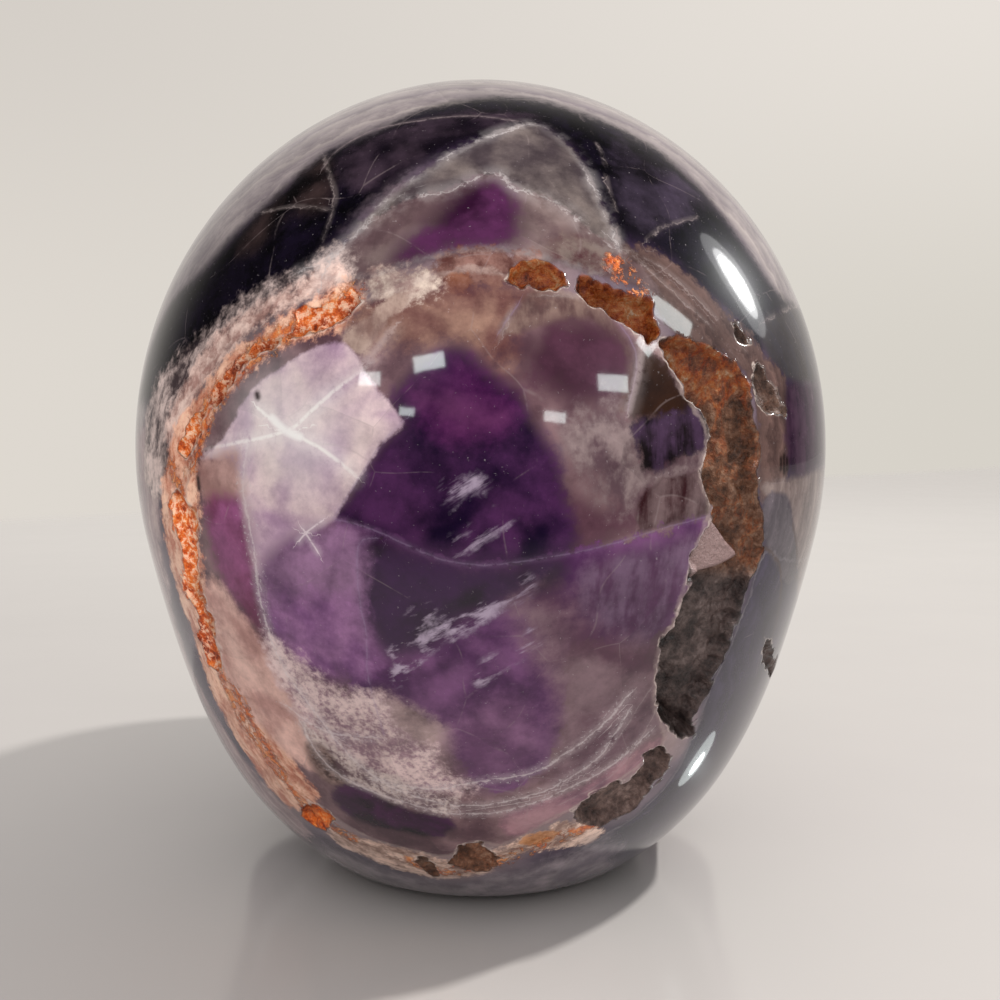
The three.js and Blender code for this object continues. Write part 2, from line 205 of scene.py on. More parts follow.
# The zones of colour on the back, in pixels of the photograph. Points outside the stone's outline
# carry on round its edge.
ZONES = {
    "ring": [
        (190, 560), (186, 500), (192, 450), (210, 405), (245, 360), (290, 330), (330, 322), (362, 300),
        (400, 285), (440, 272), (480, 268), (520, 278), (560, 290), (600, 303), (640, 335), (662, 352),
        (690, 400), (708, 430), (702, 478), (711, 508), (693, 560), (678, 615), (661, 650), (656, 700),
        (665, 742), (640, 765), (605, 790), (570, 810), (530, 832), (500, 845), (474, 843), (445, 856),
        (410, 850), (370, 838), (335, 818), (300, 795), (270, 755), (240, 705), (218, 650), (203, 605),
    ],
    "limb": [
        (80, 430), (85, 370), (100, 305), (125, 245), (160, 190), (215, 130), (285, 78), (370, 45),
        (450, 32), (525, 30), (590, 38), (660, 65), (730, 110), (790, 170), (835, 240), (865, 310),
        (795, 308), (778, 295), (755, 262), (730, 226), (700, 190), (662, 158), (620, 136), (577, 119),
        (538, 109), (488, 104), (443, 113), (396, 128), (342, 147), (324, 156), (292, 182), (263, 209),
        (231, 239), (202, 272), (173, 300), (152, 344), (144, 376), (140, 430),
    ],
    "crown": [
        (140, 400), (144, 376), (152, 344), (173, 300), (202, 272), (231, 239), (263, 209), (292, 182),
        (324, 154), (342, 144), (396, 121), (443, 105), (488, 97), (538, 101), (577, 111), (620, 130),
        (662, 154), (700, 188), (730, 226), (755, 262), (778, 295), (795, 308), (764, 320), (762, 345),
        (749, 335), (733, 312), (710, 292), (678, 265), (647, 242), (616, 238), (608, 218), (593, 187),
        (577, 156), (554, 136), (530, 125), (488, 138), (454, 147), (418, 167), (396, 185), (364, 214),
        (342, 236), (324, 254), (304, 290), (286, 292), (256, 308), (230, 326), (210, 344), (186, 364),
        (168, 396),
    ],
    "crown violet": [
        (338, 166), (350, 148), (396, 130), (454, 114), (500, 112), (545, 118), (488, 131), (454, 145),
        (418, 165), (390, 182), (366, 190), (350, 184),
    ],
    "crown brown": [
        (236, 252), (250, 226), (292, 184), (322, 160), (330, 170), (325, 204), (312, 212), (290, 212),
        (262, 244),
    ],
    "shoulder glow": [
        (618, 140), (650, 156), (690, 186), (714, 212), (694, 217), (663, 225), (642, 236), (622, 215),
        (612, 175),
    ],
    "blue grey": [
        (764, 320), (795, 308), (830, 312), (870, 330), (875, 385), (812, 384), (790, 380), (776, 364),
        (764, 345),
    ],
    "peak": [
        (316, 274), (346, 243), (382, 203), (418, 175), (454, 152), (488, 136), (530, 124), (556, 136),
        (578, 156), (594, 187), (608, 218), (620, 250), (600, 275), (540, 258), (480, 250), (420, 262),
        (360, 280),
    ],
    "mauve": [
        (312, 292), (332, 256), (382, 214), (414, 197), (447, 191), (476, 177), (500, 174), (516, 188),
        (545, 198), (570, 212), (592, 232), (612, 246), (642, 268), (660, 296), (640, 292),
        (600, 276), (565, 262), (520, 252), (480, 249), (440, 254), (410, 264), (370, 282), (340, 296),
    ],
    "violet patch": [
        (392, 262), (408, 242), (430, 222), (447, 203), (470, 184), (494, 180), (512, 194), (520, 215),
        (515, 242), (488, 248), (440, 254), (410, 264),
    ],
    "pink top": [
        (548, 262), (560, 240), (590, 236), (615, 250), (640, 275), (600, 274), (570, 268),
    ],
    "lace": [
        (146, 480), (146, 424), (152, 396), (162, 376), (180, 354), (204, 334), (226, 316), (250, 298),
        (287, 280), (303, 274), (324, 252), (340, 252), (352, 264), (345, 285), (318, 296), (296, 310),
        (270, 326), (240, 345), (212, 380), (196, 410), (182, 440), (176, 480), (160, 500),
    ],
    "left edge": [
        (110, 440), (140, 420), (156, 470), (160, 540), (170, 600), (188, 660), (218, 720), (260, 780),
        (306, 830), (290, 870), (200, 790), (140, 690), (105, 560),
    ],
    "left vein": [
        (164, 480), (176, 430), (196, 398), (230, 355), (270, 326), (312, 303), (346, 284), (366, 290),
        (362, 304), (330, 330), (280, 346), (246, 372), (214, 410), (200, 448), (198, 500), (202, 560),
        (212, 610), (232, 656), (260, 708), (296, 766), (320, 796), (290, 808), (248, 757), (216, 700),
        (198, 650), (178, 590), (164, 530),
    ],
    "top crust": [
        (430, 270), (446, 254), (480, 249), (515, 253), (540, 258), (520, 268), (505, 285), (480, 286),
        (455, 292), (440, 284),
    ],
    "top stain": [
        (446, 278), (458, 272), (472, 280), (466, 291), (452, 290),
    ],
    "peach": [
        (352, 330), (370, 300), (420, 285), (470, 282), (520, 285), (560, 292), (530, 305), (515, 330),
        (520, 360), (500, 366), (470, 345), (440, 345), (400, 350),
    ],
    "white brow": [
        (352, 288), (372, 272), (405, 268), (432, 272), (440, 285), (420, 296), (390, 302), (366, 300),
    ],
    "shard": [
        (500, 332), (518, 304), (535, 290), (575, 296), (600, 306), (622, 334), (640, 352), (628, 409),
        (612, 400), (604, 330), (560, 318), (530, 330),
    ],
    "upper violet": [
        (528, 374), (530, 352), (548, 332), (588, 322), (620, 336), (630, 360), (624, 392), (600, 402),
        (560, 398),
    ],
    "lit strip": [
        (352, 352), (344, 336), (370, 314), (394, 294), (408, 298), (388, 322), (366, 350),
    ],
    "core": [
        (332, 518), (346, 498), (360, 476), (382, 443), (402, 423), (390, 402), (414, 372), (445, 350),
        (470, 354), (484, 372), (514, 394), (527, 412), (543, 435), (560, 463), (566, 500), (572, 552),
        (500, 572), (435, 566), (377, 540),
    ],
    "core glow": [
        (420, 372), (448, 356), (470, 362), (490, 382), (514, 404), (508, 428), (460, 442), (424, 424),
        (406, 400),
    ],
    "purple": [
        (340, 530), (377, 532), (435, 557), (486, 565), (570, 554), (600, 546), (650, 534), (706, 516),
        (702, 545), (690, 585), (676, 615), (650, 640), (600, 640), (570, 650), (566, 690), (560, 740),
        (530, 775), (500, 790), (470, 775), (440, 740), (400, 710), (350, 690), (340, 620),
    ],
    "right violet": [
        (598, 562), (650, 549), (706, 532), (700, 555), (693, 574), (680, 603), (663, 633), (640, 645),
        (604, 630), (576, 600),
    ],
    "dark smoke": [
        (350, 548), (377, 536), (435, 560), (486, 568), (556, 559), (552, 590), (510, 602), (455, 624),
        (418, 648), (386, 650), (356, 606),
    ],
    "smoky crystal": [
        (642, 352), (664, 365), (690, 402), (700, 412), (668, 416), (636, 420), (630, 400),
    ],
    "tan": [
        (545, 480), (603, 508), (642, 488), (644, 520), (600, 544), (572, 551), (570, 515),
    ],
    "fog": [
        (568, 446), (578, 420), (600, 408), (622, 412), (640, 430), (648, 462), (672, 460), (706, 444),
        (706, 470), (672, 482), (645, 496), (622, 510), (600, 500), (584, 476),
    ],
    "violet facet": [
        (636, 420), (668, 416), (702, 408), (712, 430), (706, 446), (676, 462), (646, 472), (638, 450),
    ],
    "right pink": [
        (640, 494), (664, 481), (706, 472), (712, 508), (704, 518), (661, 528), (640, 530),
    ],
    "beige": [
        (517, 605), (560, 595), (604, 635), (650, 645), (656, 690), (662, 725), (640, 742), (600, 768),
        (560, 785), (555, 755), (562, 700), (540, 660),
    ],
    "left grey": [
        (198, 462), (222, 454), (238, 450), (240, 470), (240, 500), (214, 504), (200, 490),
    ],
    "magenta": [
        (208, 500), (226, 494), (244, 505), (252, 540), (256, 590), (268, 640), (244, 615), (226, 585),
        (212, 550),
    ],
    "left beige": [
        (200, 600), (214, 580), (240, 612), (266, 645), (290, 690), (318, 728), (330, 770), (300, 762),
        (268, 735), (238, 695), (214, 650),
    ],
    "left lilac": [
        (262, 562), (284, 541), (310, 528), (334, 524), (358, 528), (368, 545), (360, 602), (366, 640),
        (340, 650), (300, 640), (274, 632), (258, 592),
    ],
    "left purple": [
        (268, 612), (286, 596), (320, 596), (352, 606), (366, 634), (368, 676), (340, 682), (306, 668),
        (282, 645),
    ],
    # Lilac stone under a painted reflection of a bright window, with sharp edges
    "lilac window reflection": [
        (200, 458), (224, 438), (250, 393), (300, 356), (334, 342), (354, 352), (366, 378), (402, 422),
        (382, 443), (360, 476), (333, 520), (310, 536), (284, 548), (266, 580), (250, 560), (240, 520),
        (236, 480), (222, 462),
    ],
    "frost left": [
        (262, 636), (286, 652), (312, 674), (346, 690), (380, 696), (392, 722), (430, 750), (446, 774),
        (470, 788), (436, 796), (396, 788), (350, 766), (318, 738), (290, 704),
    ],
    "low pink": [
        (505, 815), (560, 797), (606, 774), (645, 744), (662, 742), (640, 765), (605, 790), (570, 810),
        (540, 826), (512, 834),
    ],
    "frost outer": [
        (300, 722), (340, 752), (376, 770), (420, 788), (456, 798), (440, 818), (398, 806), (362, 792),
        (344, 784), (330, 768), (312, 746),
    ],
    "smoky patch": [
        (306, 744), (322, 746), (338, 764), (346, 786), (326, 780), (312, 764),
    ],
    "low violet": [
        (332, 800), (345, 785), (370, 792), (400, 806), (442, 816), (455, 828), (440, 838), (404, 832),
        (362, 822),
    ],
    "foot vein": [
        (330, 828), (375, 842), (420, 852), (447, 862), (500, 850), (523, 838), (545, 830), (566, 820),
        (592, 826), (602, 834), (590, 844), (560, 848), (530, 852), (506, 862), (480, 874), (440, 878),
        (405, 872), (365, 856), (335, 842),
    ],
    "foot stain": [
        (520, 842), (535, 833), (552, 830), (562, 832), (552, 840), (535, 846),
    ],
    # Grey-violet stone at the foot, painted paler as painted light thrown up from the table
    "foot band": [
        (330, 850), (380, 868), (440, 882), (500, 876), (560, 860), (604, 840), (616, 860), (600, 890),
        (560, 940), (500, 950), (360, 930), (290, 880),
    ],
    "chalcedony": [
        (560, 866), (600, 838), (640, 812), (672, 778), (690, 742), (706, 700), (728, 650), (748, 600),
        (765, 552), (790, 560), (850, 560), (880, 640), (820, 780), (720, 880), (640, 920), (560, 910),
    ],
    "pale edge": [
        (762, 486), (775, 482), (800, 474), (825, 466), (865, 460), (880, 560), (860, 660), (806, 640),
        (798, 600), (797, 560), (793, 524), (786, 496), (768, 496),
    ],
    "blue wedge": [
        (765, 500), (786, 496), (793, 524), (797, 560), (790, 584), (781, 574), (768, 549), (764, 535),
    ],
    "edge violet": [
        (787, 384), (812, 384), (875, 385), (870, 462), (825, 467), (800, 476), (789, 468), (786, 430),
    ],
    "right grey": [
        (612, 245), (655, 252), (690, 278), (720, 306), (746, 334), (766, 360), (786, 380), (790, 430),
        (788, 474), (772, 486), (764, 500), (758, 490), (757, 430), (752, 395), (738, 368), (706, 348),
        (678, 338), (652, 302), (640, 280),
    ],
    "pale beige": [
        (372, 692), (400, 700), (430, 715), (454, 742), (446, 770), (410, 768), (386, 748),
    ],
    "low glow": [
        (452, 745), (468, 714), (500, 698), (530, 706), (540, 740), (530, 772), (500, 786), (470, 780),
    ],
    "pink lace": [
        (166, 440), (172, 410), (196, 362), (226, 328), (262, 302), (300, 284), (330, 264), (345, 276),
        (330, 292), (296, 304), (262, 324), (232, 350), (204, 388), (186, 420), (176, 446),
    ],
    "ledge": [
        (712, 514), (722, 520), (736, 540), (747, 556), (726, 569), (709, 574), (693, 579), (692, 560),
        (702, 535),
    ],
}

# Thin marks, in pixels of the photograph, gathered by what they are
LINES = {
    "lace lines": [
        [(318, 292), (332, 256), (382, 214), (414, 197), (447, 191), (476, 177), (500, 174),
         (516, 188), (545, 198), (570, 212), (592, 232), (612, 246)],
        [(300, 272), (346, 243), (382, 203), (418, 175), (454, 152), (488, 136), (530, 124), (556, 136),
         (578, 156), (594, 187), (608, 218), (618, 245)],
    ],
    "veil lines": [
        [(249, 443), (243, 479), (249, 526), (256, 566), (263, 609), (274, 645), (288, 674), (310, 705),
         (350, 756), (390, 786), (430, 801), (470, 806), (520, 798), (562, 782), (600, 755), (628, 712)],
        [(300, 722), (330, 768), (380, 794), (440, 812), (500, 812), (560, 792), (612, 764), (650, 732)],
        [(374, 780), (430, 789), (480, 781), (532, 772), (585, 740), (630, 694)],
        [(286, 706), (318, 728), (344, 736), (376, 738)],
    ],
    "layers": [
        [(560, 804), (600, 784), (632, 752), (662, 700)],
        [(593, 806), (642, 776), (668, 738)],
        [(540, 800), (575, 776), (610, 748), (650, 690)],
        [(323, 168), (338, 150), (372, 131), (426, 119), (475, 116), (516, 121)],
    ],
    "edges": [
        [(376, 538), (358, 546), (360, 602), (366, 634), (368, 674), (374, 700), (384, 735)],
        [(332, 518), (377, 531), (435, 557), (486, 565), (556, 556), (611, 544), (661, 529), (706, 517)],
        [(402, 422), (382, 443), (360, 476), (333, 518)],
        [(518, 304), (500, 332)],
        [(604, 306), (636, 352), (628, 409)],
    ],
    # The star, the small star, the glints and the lit edges are painted light: glints on inner cracks
    "star": [
        [(258, 408), (272, 420), (286, 431), (318, 446), (340, 462), (356, 476)],
        [(200, 450), (240, 442), (286, 431), (310, 412), (333, 392), (379, 357)],
    ],
    "small star": [
        [(299, 541), (307, 532), (322, 521)],
        [(303, 529), (318, 552)],
    ],
    "glints": [
        [(272, 418), (286, 431), (300, 437)],
    ],
    "lit edges": [
        [(642, 350), (637, 376), (629, 410)],
        [(256, 434), (247, 462), (244, 492), (247, 516)],
        [(340, 384), (366, 360), (392, 330)],
    ],
    "wisps": [
        [(394, 680), (410, 656), (440, 630), (470, 612), (500, 600), (528, 584)],
        [(404, 668), (430, 646), (460, 626), (496, 606)],
        [(396, 650), (410, 628), (424, 612)],
        [(478, 678), (496, 662), (512, 656), (534, 640)],
        [(450, 494), (474, 484)],
        [(458, 546), (480, 534), (500, 524)],
    ],
    "cracks": [
        [(573, 105), (597, 144), (604, 160), (608, 185), (616, 214), (618, 240)],
        [(647, 240), (655, 232), (664, 226), (694, 218), (712, 216)],
        [(764, 322), (785, 310), (806, 304)],
        [(324, 156), (330, 176), (336, 196), (330, 220), (318, 250)],
        [(263, 212), (296, 206), (330, 210)],
        [(500, 340), (520, 300), (575, 296)],
        [(616, 245), (640, 262), (672, 290), (706, 322), (738, 360)],
        [(627, 250), (660, 266), (690, 290), (724, 326), (746, 352)],
    ],
    "seams": [
        [(747, 549), (768, 549), (781, 574), (778, 616), (772, 637)],
        [(793, 524), (797, 553), (795, 578), (810, 576)],
    ],
    # Small holes, which are not carved: they are painted as dark dots of shade
    "holes": [
        [(198, 478), (199, 488)],
        [(781, 459), (781, 469)],
        [(784, 456), (784, 472)],
        [(787, 459), (787, 469)],
        [(257, 394), (258, 397)],
    ],
    "orange seam": [
        [(172, 468), (180, 492), (184, 520), (190, 560), (200, 600), (210, 642), (220, 672), (232, 700),
         (246, 728), (264, 752), (286, 782), (306, 806), (330, 824), (352, 838)],
        [(350, 296), (326, 310), (300, 324), (262, 348), (232, 376), (212, 402), (198, 440), (190, 464)],
        [(236, 690), (252, 722), (266, 746), (282, 773)],
        [(410, 860), (440, 872), (470, 868), (505, 860), (540, 846), (575, 832), (596, 824)],
        [(612, 262), (628, 276), (640, 300)],
    ],
}

# The flat map of the stone round the middle of its back, in millimetres: outward from the heart,
# the angle away from +Y times this radius. A pixel beside the stone lies this many times as far
# beyond its edge on the map as it misses the stone by. Distances on the map are kept up to FAR.
MAP_RADIUS = 50.0
BESIDE_STONE = 1.4
FAR = 40.0

# The heart is at least this deep in the stone
HEART_DEPTH = 12.0


def join(a, b, blend):
    """The smooth union of two distances."""
    if blend == 0:
        return np.minimum(a, b)
    h = np.clip(0.5 + 0.5 * (b - a) / blend, 0, 1)
    return b + (a - b) * h - blend * h * (1 - h)


def cut(a, b, blend):
    """The distance to the first form with the second cut out of it."""
    return -join(-a, b, blend)


def ease(x, low, high):
    """Rises smoothly from 0 at low to 1 at high."""
    t = np.clip((x - low) / (high - low), 0, 1)
    return t * t * (3 - 2 * t)


def ellipsoid(points, mass):
    """Distances to an ellipsoid: near enough at its surface, below zero inside."""
    x, y, z = (points - np.array(mass["at"])).T
    turn = math.radians(mass.get("yaw", 0))
    x, y = x * math.cos(turn) + y * math.sin(turn), y * math.cos(turn) - x * math.sin(turn)
    turn = math.radians(mass.get("roll", 0))
    x, z = x * math.cos(turn) - z * math.sin(turn), x * math.sin(turn) + z * math.cos(turn)
    a, b, c = mass["half"]
    scaled = np.sqrt((x / a) ** 2 + (y / b) ** 2 + (z / c) ** 2)
    slope = np.sqrt((x / a ** 2) ** 2 + (y / b ** 2) ** 2 + (z / c ** 2) ** 2)
    return scaled * (scaled - 1) / (slope + 1e-9)


def rod(points, mass):
    """Distances to a rod with a round end of its own radius at each end."""
    start, end = np.array(mass["start"], float), np.array(mass["end"], float)
    line = end - start
    along = np.clip((points - start) @ line / (line @ line), 0, 1)
    radius = mass["radii"][0] + (mass["radii"][1] - mass["radii"][0]) * along
    return np.linalg.norm(points - start - along[:, None] * line, axis=1) - radius


def carved_form(points):
    """Distances to the masses joined and cut, before the teeth and the base."""
    mirrored = np.array(points, float)
    mirrored[:, 0] = np.abs(mirrored[:, 0])
    distance = np.full(len(points), np.inf)
    for mass in MASSES:
        other = rod(mirrored, mass) if "start" in mass else ellipsoid(mirrored, mass)
        blend_in = cut if "cuts" in mass else join
        distance = blend_in(distance, other, mass["blend"])
    return distance


def tooth_relief(points):
    """How far the tooth rows stand back: the gaps and the mouth line cut in, the crowns swell."""
    turn = np.arctan2(np.abs(points[:, 0]), TEETH["axis"] - points[:, 1])
    across = np.abs(np.sin(math.pi * turn * TEETH["radius"] / TOOTH_WIDTH))
    height = points[:, 2] - MOUTH_HEIGHT
    rows = ease(height, -TEETH["below"] - 1, -TEETH["below"] + 1)
    rows = rows * (1 - ease(height, TEETH["above"] - 1, TEETH["above"] + 1))
    rows = rows * (1 - ease(turn, TEETH["half_turn"] - 0.1, TEETH["half_turn"] + 0.1))
    mouth = np.exp(-((height / TOOTH["mouth_half"]) ** 2))
    gaps = rows * TOOTH["gap"] * (1 - ease(across, 0, 0.5)) * (1 - 0.3 * mouth)
    lips = TOOTH["mouth_line"] * mouth * (1 - ease(turn, TEETH["half_turn"], TEETH["half_turn"] + 0.15))
    crowns = rows * TOOTH["crown"] * across ** 2 * (1 - mouth)
    return np.where(points[:, 1] > TEETH["back"], 0, gaps + lips - crowns)


def polished_form(points):
    """Distances to the polished surface, with the flat base at z = 0."""
    return cut(carved_form(points) + tooth_relief(points), points[:, 2], BASE_ROUNDING)


def unit(vectors):
    """The vectors at a length of 1."""
    return vectors / np.linalg.norm(vectors, axis=-1, keepdims=True)


def onto_stone(places):
    """The polished surface outward of each place, seen from the heart of the stone."""
    directions = unit(places - HEART)
    within = np.full(len(places), HEART_DEPTH)
    beyond = within.copy()
    moving = np.arange(len(places))
    while len(moving):
        distance = polished_form(HEART + directions[moving] * beyond[moving, None])
        moving, distance = moving[distance < 0], distance[distance < 0]
        within[moving] = beyond[moving]
        beyond[moving] += np.clip(-0.7 * distance, 0.25, 6)
    for _ in range(16):
        middle = (within + beyond) / 2
        inside = polished_form(HEART + directions * middle[:, None]) < 0
        within = np.where(inside, middle, within)
        beyond = np.where(inside, beyond, middle)
    return HEART + directions * within[:, None]


def in_picture(points):
    """Where points show in the photograph, and how many pixels a millimetre takes there."""
    offset = points - EYE
    scale = FOCAL / (offset @ FORWARD)
    return np.stack([MIDDLE + scale * (offset @ RIGHT), MIDDLE - scale * (offset @ UP)], 1), scale


def rays_through(pixels):
    """The lines of sight through pixels, for one millimetre straight ahead."""
    pixels = np.asarray(pixels, float)
    across = (pixels[:, :1] - MIDDLE) / FOCAL * RIGHT
    return FORWARD + across + (MIDDLE - pixels[:, 1:]) / FOCAL * UP


def on_map(points):
    """Points of the stone on the flat map: millimetres to the right and up from the back."""
    directions = unit(points - HEART)
    away = MAP_RADIUS * np.arccos(np.clip(directions[:, 1], -1, 1))
    side = np.stack([-directions[:, 0], directions[:, 2]], 1)
    return away[:, None] * unit(side + 1e-9)


def map_of_pixels(pixels):
    """Pixels of the photograph on the flat map."""
    rays = rays_through(pixels)
    depths = np.linspace(STONE_NEAREST, STONE_FARTHEST, 121)
    places = EYE + rays[:, None] * depths[None, :, None]
    distance = polished_form(places.reshape(-1, 3)).reshape(len(rays), -1)
    hit = (distance < 0).any(1)
    nearest = np.where(hit, np.argmax(distance < 0, axis=1), np.argmin(distance, axis=1))
    near, far = depths[np.maximum(nearest - 1, 0)], depths[nearest]
    for _ in range(10):
        middle = (near + far) / 2
        inside = polished_form(EYE + rays * middle[:, None]) < 0
        near, far = np.where(inside, near, middle), np.where(inside, middle, far)
    depth = np.where(hit, far, depths[nearest])
    missed = np.where(hit, 0, np.maximum(distance.min(1), 0))
    flat = on_map(EYE + rays * depth[:, None])
    return flat * (1 + BESIDE_STONE * missed / np.linalg.norm(flat, axis=1))[:, None]


def smooth_line(points, closed=False):
    """A smooth line through the points, with four short stretches between each two."""
    points = np.asarray(points, float)
    if closed:
        before, after, last = np.roll(points, 1, 0), np.roll(points, -1, 0), np.roll(points, -2, 0)
    else:
        padded = np.vstack([points[:1], points, points[-1:]])
        before, points, after, last = padded[:-3], padded[1:-2], padded[2:-1], padded[3:]
    line = []
    for t in (0, 0.25, 0.5, 0.75):
        line.append(0.5 * (
            2 * points + (after - before) * t + (2 * before - 5 * points + 4 * after - last) * t ** 2
            + (3 * points - before - 3 * after + last) * t ** 3))
    line = np.stack(line, 1).reshape(-1, 2)
    return line if closed else np.vstack([line, after[-1:]])


def near_line(places, line):
    """The distance of places on a plane to a line, and the side of it that they are on: 1 on its
    left, -1 on its right."""
    best = np.full(len(places), np.inf)
    side = np.ones(len(places))
    for start, end in zip(line[:-1], line[1:]):
        step = end - start
        along = np.clip((places - start) @ step / max(step @ step, 1e-9), 0, 1)
        distance = np.linalg.norm(places - (start + along[:, None] * step), axis=1)
        closer = distance < best
        best = np.where(closer, distance, best)
        turn = step[0] * (places - start)[:, 1] - step[1] * (places - start)[:, 0]
        side[closer] = np.where(turn[closer] < 0, -1, 1)
    return best, side


def is_inside(places, outline):
    """Whether places on a plane are inside a closed outline."""
    inside = np.zeros(len(places), bool)
    x, y = places.T
    for (ax, ay), (bx, by) in zip(outline, np.roll(outline, 1, 0)):
        crosses = (ay > y) != (by > y)
        slope = (bx - ax) / (by - ay) if by != ay else 0
        inside ^= crosses & (x < ax + slope * (y - ay))
    return inside


def inward(places, outline):
    """How far places lie inside a closed outline: below zero outside."""
    distance, _ = near_line(places, np.vstack([outline, outline[:1]]))
    return np.where(is_inside(places, outline), distance, -distance)


LATTICE_SIZE = 32
rng = np.random.default_rng(11)
LATTICE = rng.random((LATTICE_SIZE, LATTICE_SIZE, LATTICE_SIZE))


def noise(points, size):
    """Smooth random values from 0 to 1 in space. The shift keeps the cells above zero."""
    cells = points / size + 100
    corner = np.floor(cells).astype(int)
    t = cells - corner
    t = t * t * (3 - 2 * t)
    total = np.zeros(len(points))
    for dx, dy, dz in np.ndindex(2, 2, 2):
        weight = np.abs(1 - dx - t[:, 0]) * np.abs(1 - dy - t[:, 1]) * np.abs(1 - dz - t[:, 2])
        i, j, k = ((corner + (dx, dy, dz)) % LATTICE_SIZE).T
        total += weight * LATTICE[i, j, k]
    return total


def lumps(points):
    """The relief of broken rock, from about -1 to 1."""
    relief = 1.1 * noise(points, 3.2) + 0.65 * noise(points, 1.4) + 0.4 * noise(points, 0.6)
    return relief - 1.07


for item in BREAKS:
    item["steep"] = smooth_line(item["steep"])
    item["gentle"] = smooth_line(item["gentle"])
    item["outline"] = np.vstack([item["steep"], item["gentle"][::-1]])


# How many pixels round a break, and millimetres round a line, are looked at
BREAK_MARGIN = 40
LINE_MARGIN = 3


def nearest_break(points):
    """For each point its distance inside the nearest break, and that break's number."""
    pixels, scale = in_picture(points)
    best = np.full(len(points), -FAR)
    number = np.full(len(points), -1)
    for i, item in enumerate(BREAKS):
        low, high = item["outline"].min(0) - BREAK_MARGIN, item["outline"].max(0) + BREAK_MARGIN
        close = (points[:, 1] > SEEN_FROM_Y) & (pixels > low).all(1) & (pixels < high).all(1)
        close = np.flatnonzero(close)
        depth = inward(pixels[close], item["outline"])
        ragged = 0.9 * (noise(points[close], 1.9) - 0.5) + 0.6 * (noise(points[close], 0.7) - 0.5)
        depth = depth / scale[close] + ragged
        better = depth > best[close]
        chosen = close[better]
        best[chosen], number[chosen] = depth[better], i
    return best, number


def break_depth(points):
    """How deep the breaks go under points of the polished surface, how orange and how lit they
    are there, and how far the points are inside the rim and from the steep edge."""
    inside, number = nearest_break(points)
    pixels, scale = in_picture(points)
    depth, rust, lit = np.zeros(len(points)), np.zeros(len(points)), np.ones(len(points))
    steep = np.full(len(points), FAR)
    for i, item in enumerate(BREAKS):
        mine = np.flatnonzero((number == i) & (inside > -3))
        spots, place = pixels[mine], points[mine]
        from_steep = near_line(spots, item["steep"])[0]
        from_gentle = near_line(spots, item["gentle"])[0]
        across = from_steep / (from_steep + from_gentle + 1e-9)
        wall = ease(inside[mine], 0, item["wall"])
        floor = item["depth"] * (1 - 0.65 * across) * (1 + 0.3 * lumps(place)) + 0.4 * lumps(place * 1.7)
        steep[mine] = from_steep / scale[mine]
        rust[mine] = item["rust"]
        lit[mine] = item["lit"]
        if item["name"] == GREAT_BREAK:
            rust[mine] = FOOT_RUST
            for low_row, high_row, rise in RUST_RISES:
                rust[mine] += rise * ease(-spots[:, 1], -low_row, -high_row)
            flat = ease(inward(spots, smooth_line(ZONES["ledge"], closed=True)), *LEDGE_EDGE)
            floor = floor * (1 - flat) + LEDGE_DEPTH * flat
            rust[mine] *= 1 - flat
            lit[mine] += LEDGE_LIGHT * flat
        depth[mine] = np.maximum(floor, 0.15) * wall
    return depth, rust, lit, inside, steep


def longest_edge(places):
    """The longest edge that the mesh may have at places on the stone."""
    inside, _ = nearest_break(places)
    edge = np.full(len(places), EDGES["smooth"])
    x, y, z = places.T
    edge[y > SEEN_FROM_Y] = EDGES["back"]
    edge[(y < FACE_FRONT) & (z > FACE_HEIGHTS[0]) & (z < FACE_HEIGHTS[1])] = EDGES["face"]
    edge = np.minimum(edge, EDGES["breaks"] + EDGE_GROWTH * np.maximum(-inside - 0.3, 0))
    flat = on_map(places)
    back = np.flatnonzero(y > SEEN_FROM_Y)
    for line in MAP_LINES:
        low, high = line.min(0) - LINE_MARGIN, line.max(0) + LINE_MARGIN
        close = back[((flat[back] > low) & (flat[back] < high)).all(1)]
        distance, _ = near_line(flat[close], line)
        finest = EDGES["lines"] + EDGE_GROWTH * np.maximum(distance - 0.6, 0)
        edge[close] = np.minimum(edge[close], finest)
    return edge


def split_edges(corners, faces):
    """Puts a corner on the stone in the middle of each edge that is too long."""
    count = len(corners)
    pairs = np.sort(faces[:, [0, 1, 1, 2, 2, 0]].reshape(-1, 2), axis=1)
    edges, of_face = np.unique(pairs, axis=0, return_inverse=True)
    ends = corners[edges]
    middles = ends.mean(1)
    long = np.linalg.norm(ends[:, 0] - ends[:, 1], axis=1) > longest_edge(middles)
    numbers = np.full(len(edges), -1)
    numbers[long] = count + np.arange(long.sum())
    corners = np.vstack([corners, onto_stone(middles[long])])
    return corners, split_faces(corners, faces, numbers[of_face.reshape(-1, 3)])


def split_faces(corners, faces, middles):
    """The faces that each face becomes when some of its edges have a middle corner."""
    cuts = (middles >= 0).sum(1)
    done = [faces[cuts == 0]]
    a, b, c = faces[cuts == 3].T
    ab, bc, ca = middles[cuts == 3].T
    done += [np.stack(corner, 1) for corner in ((a, ab, ca), (ab, b, bc), (ca, bc, c), (ab, bc, ca))]
    for turn in range(3):
        a, b, c = (faces[:, (i + turn) % 3] for i in range(3))
        ab, bc, ca = (middles[:, (i + turn) % 3] for i in range(3))
        one = (cuts == 1) & (ab >= 0)
        done += [np.stack([a, ab, c], 1)[one], np.stack([ab, b, c], 1)[one]]
        two = (cuts == 2) & (ca < 0)
        length = np.linalg.norm
        short = length(corners[a] - corners[bc], axis=1) < length(corners[ab] - corners[c], axis=1)
        done.append(np.stack([ab, b, bc], 1)[two])
        done += [np.stack([a, ab, bc], 1)[two & short], np.stack([a, bc, c], 1)[two & short]]
        done += [np.stack([a, ab, c], 1)[two & ~short], np.stack([ab, bc, c], 1)[two & ~short]]
    return np.vstack(done)


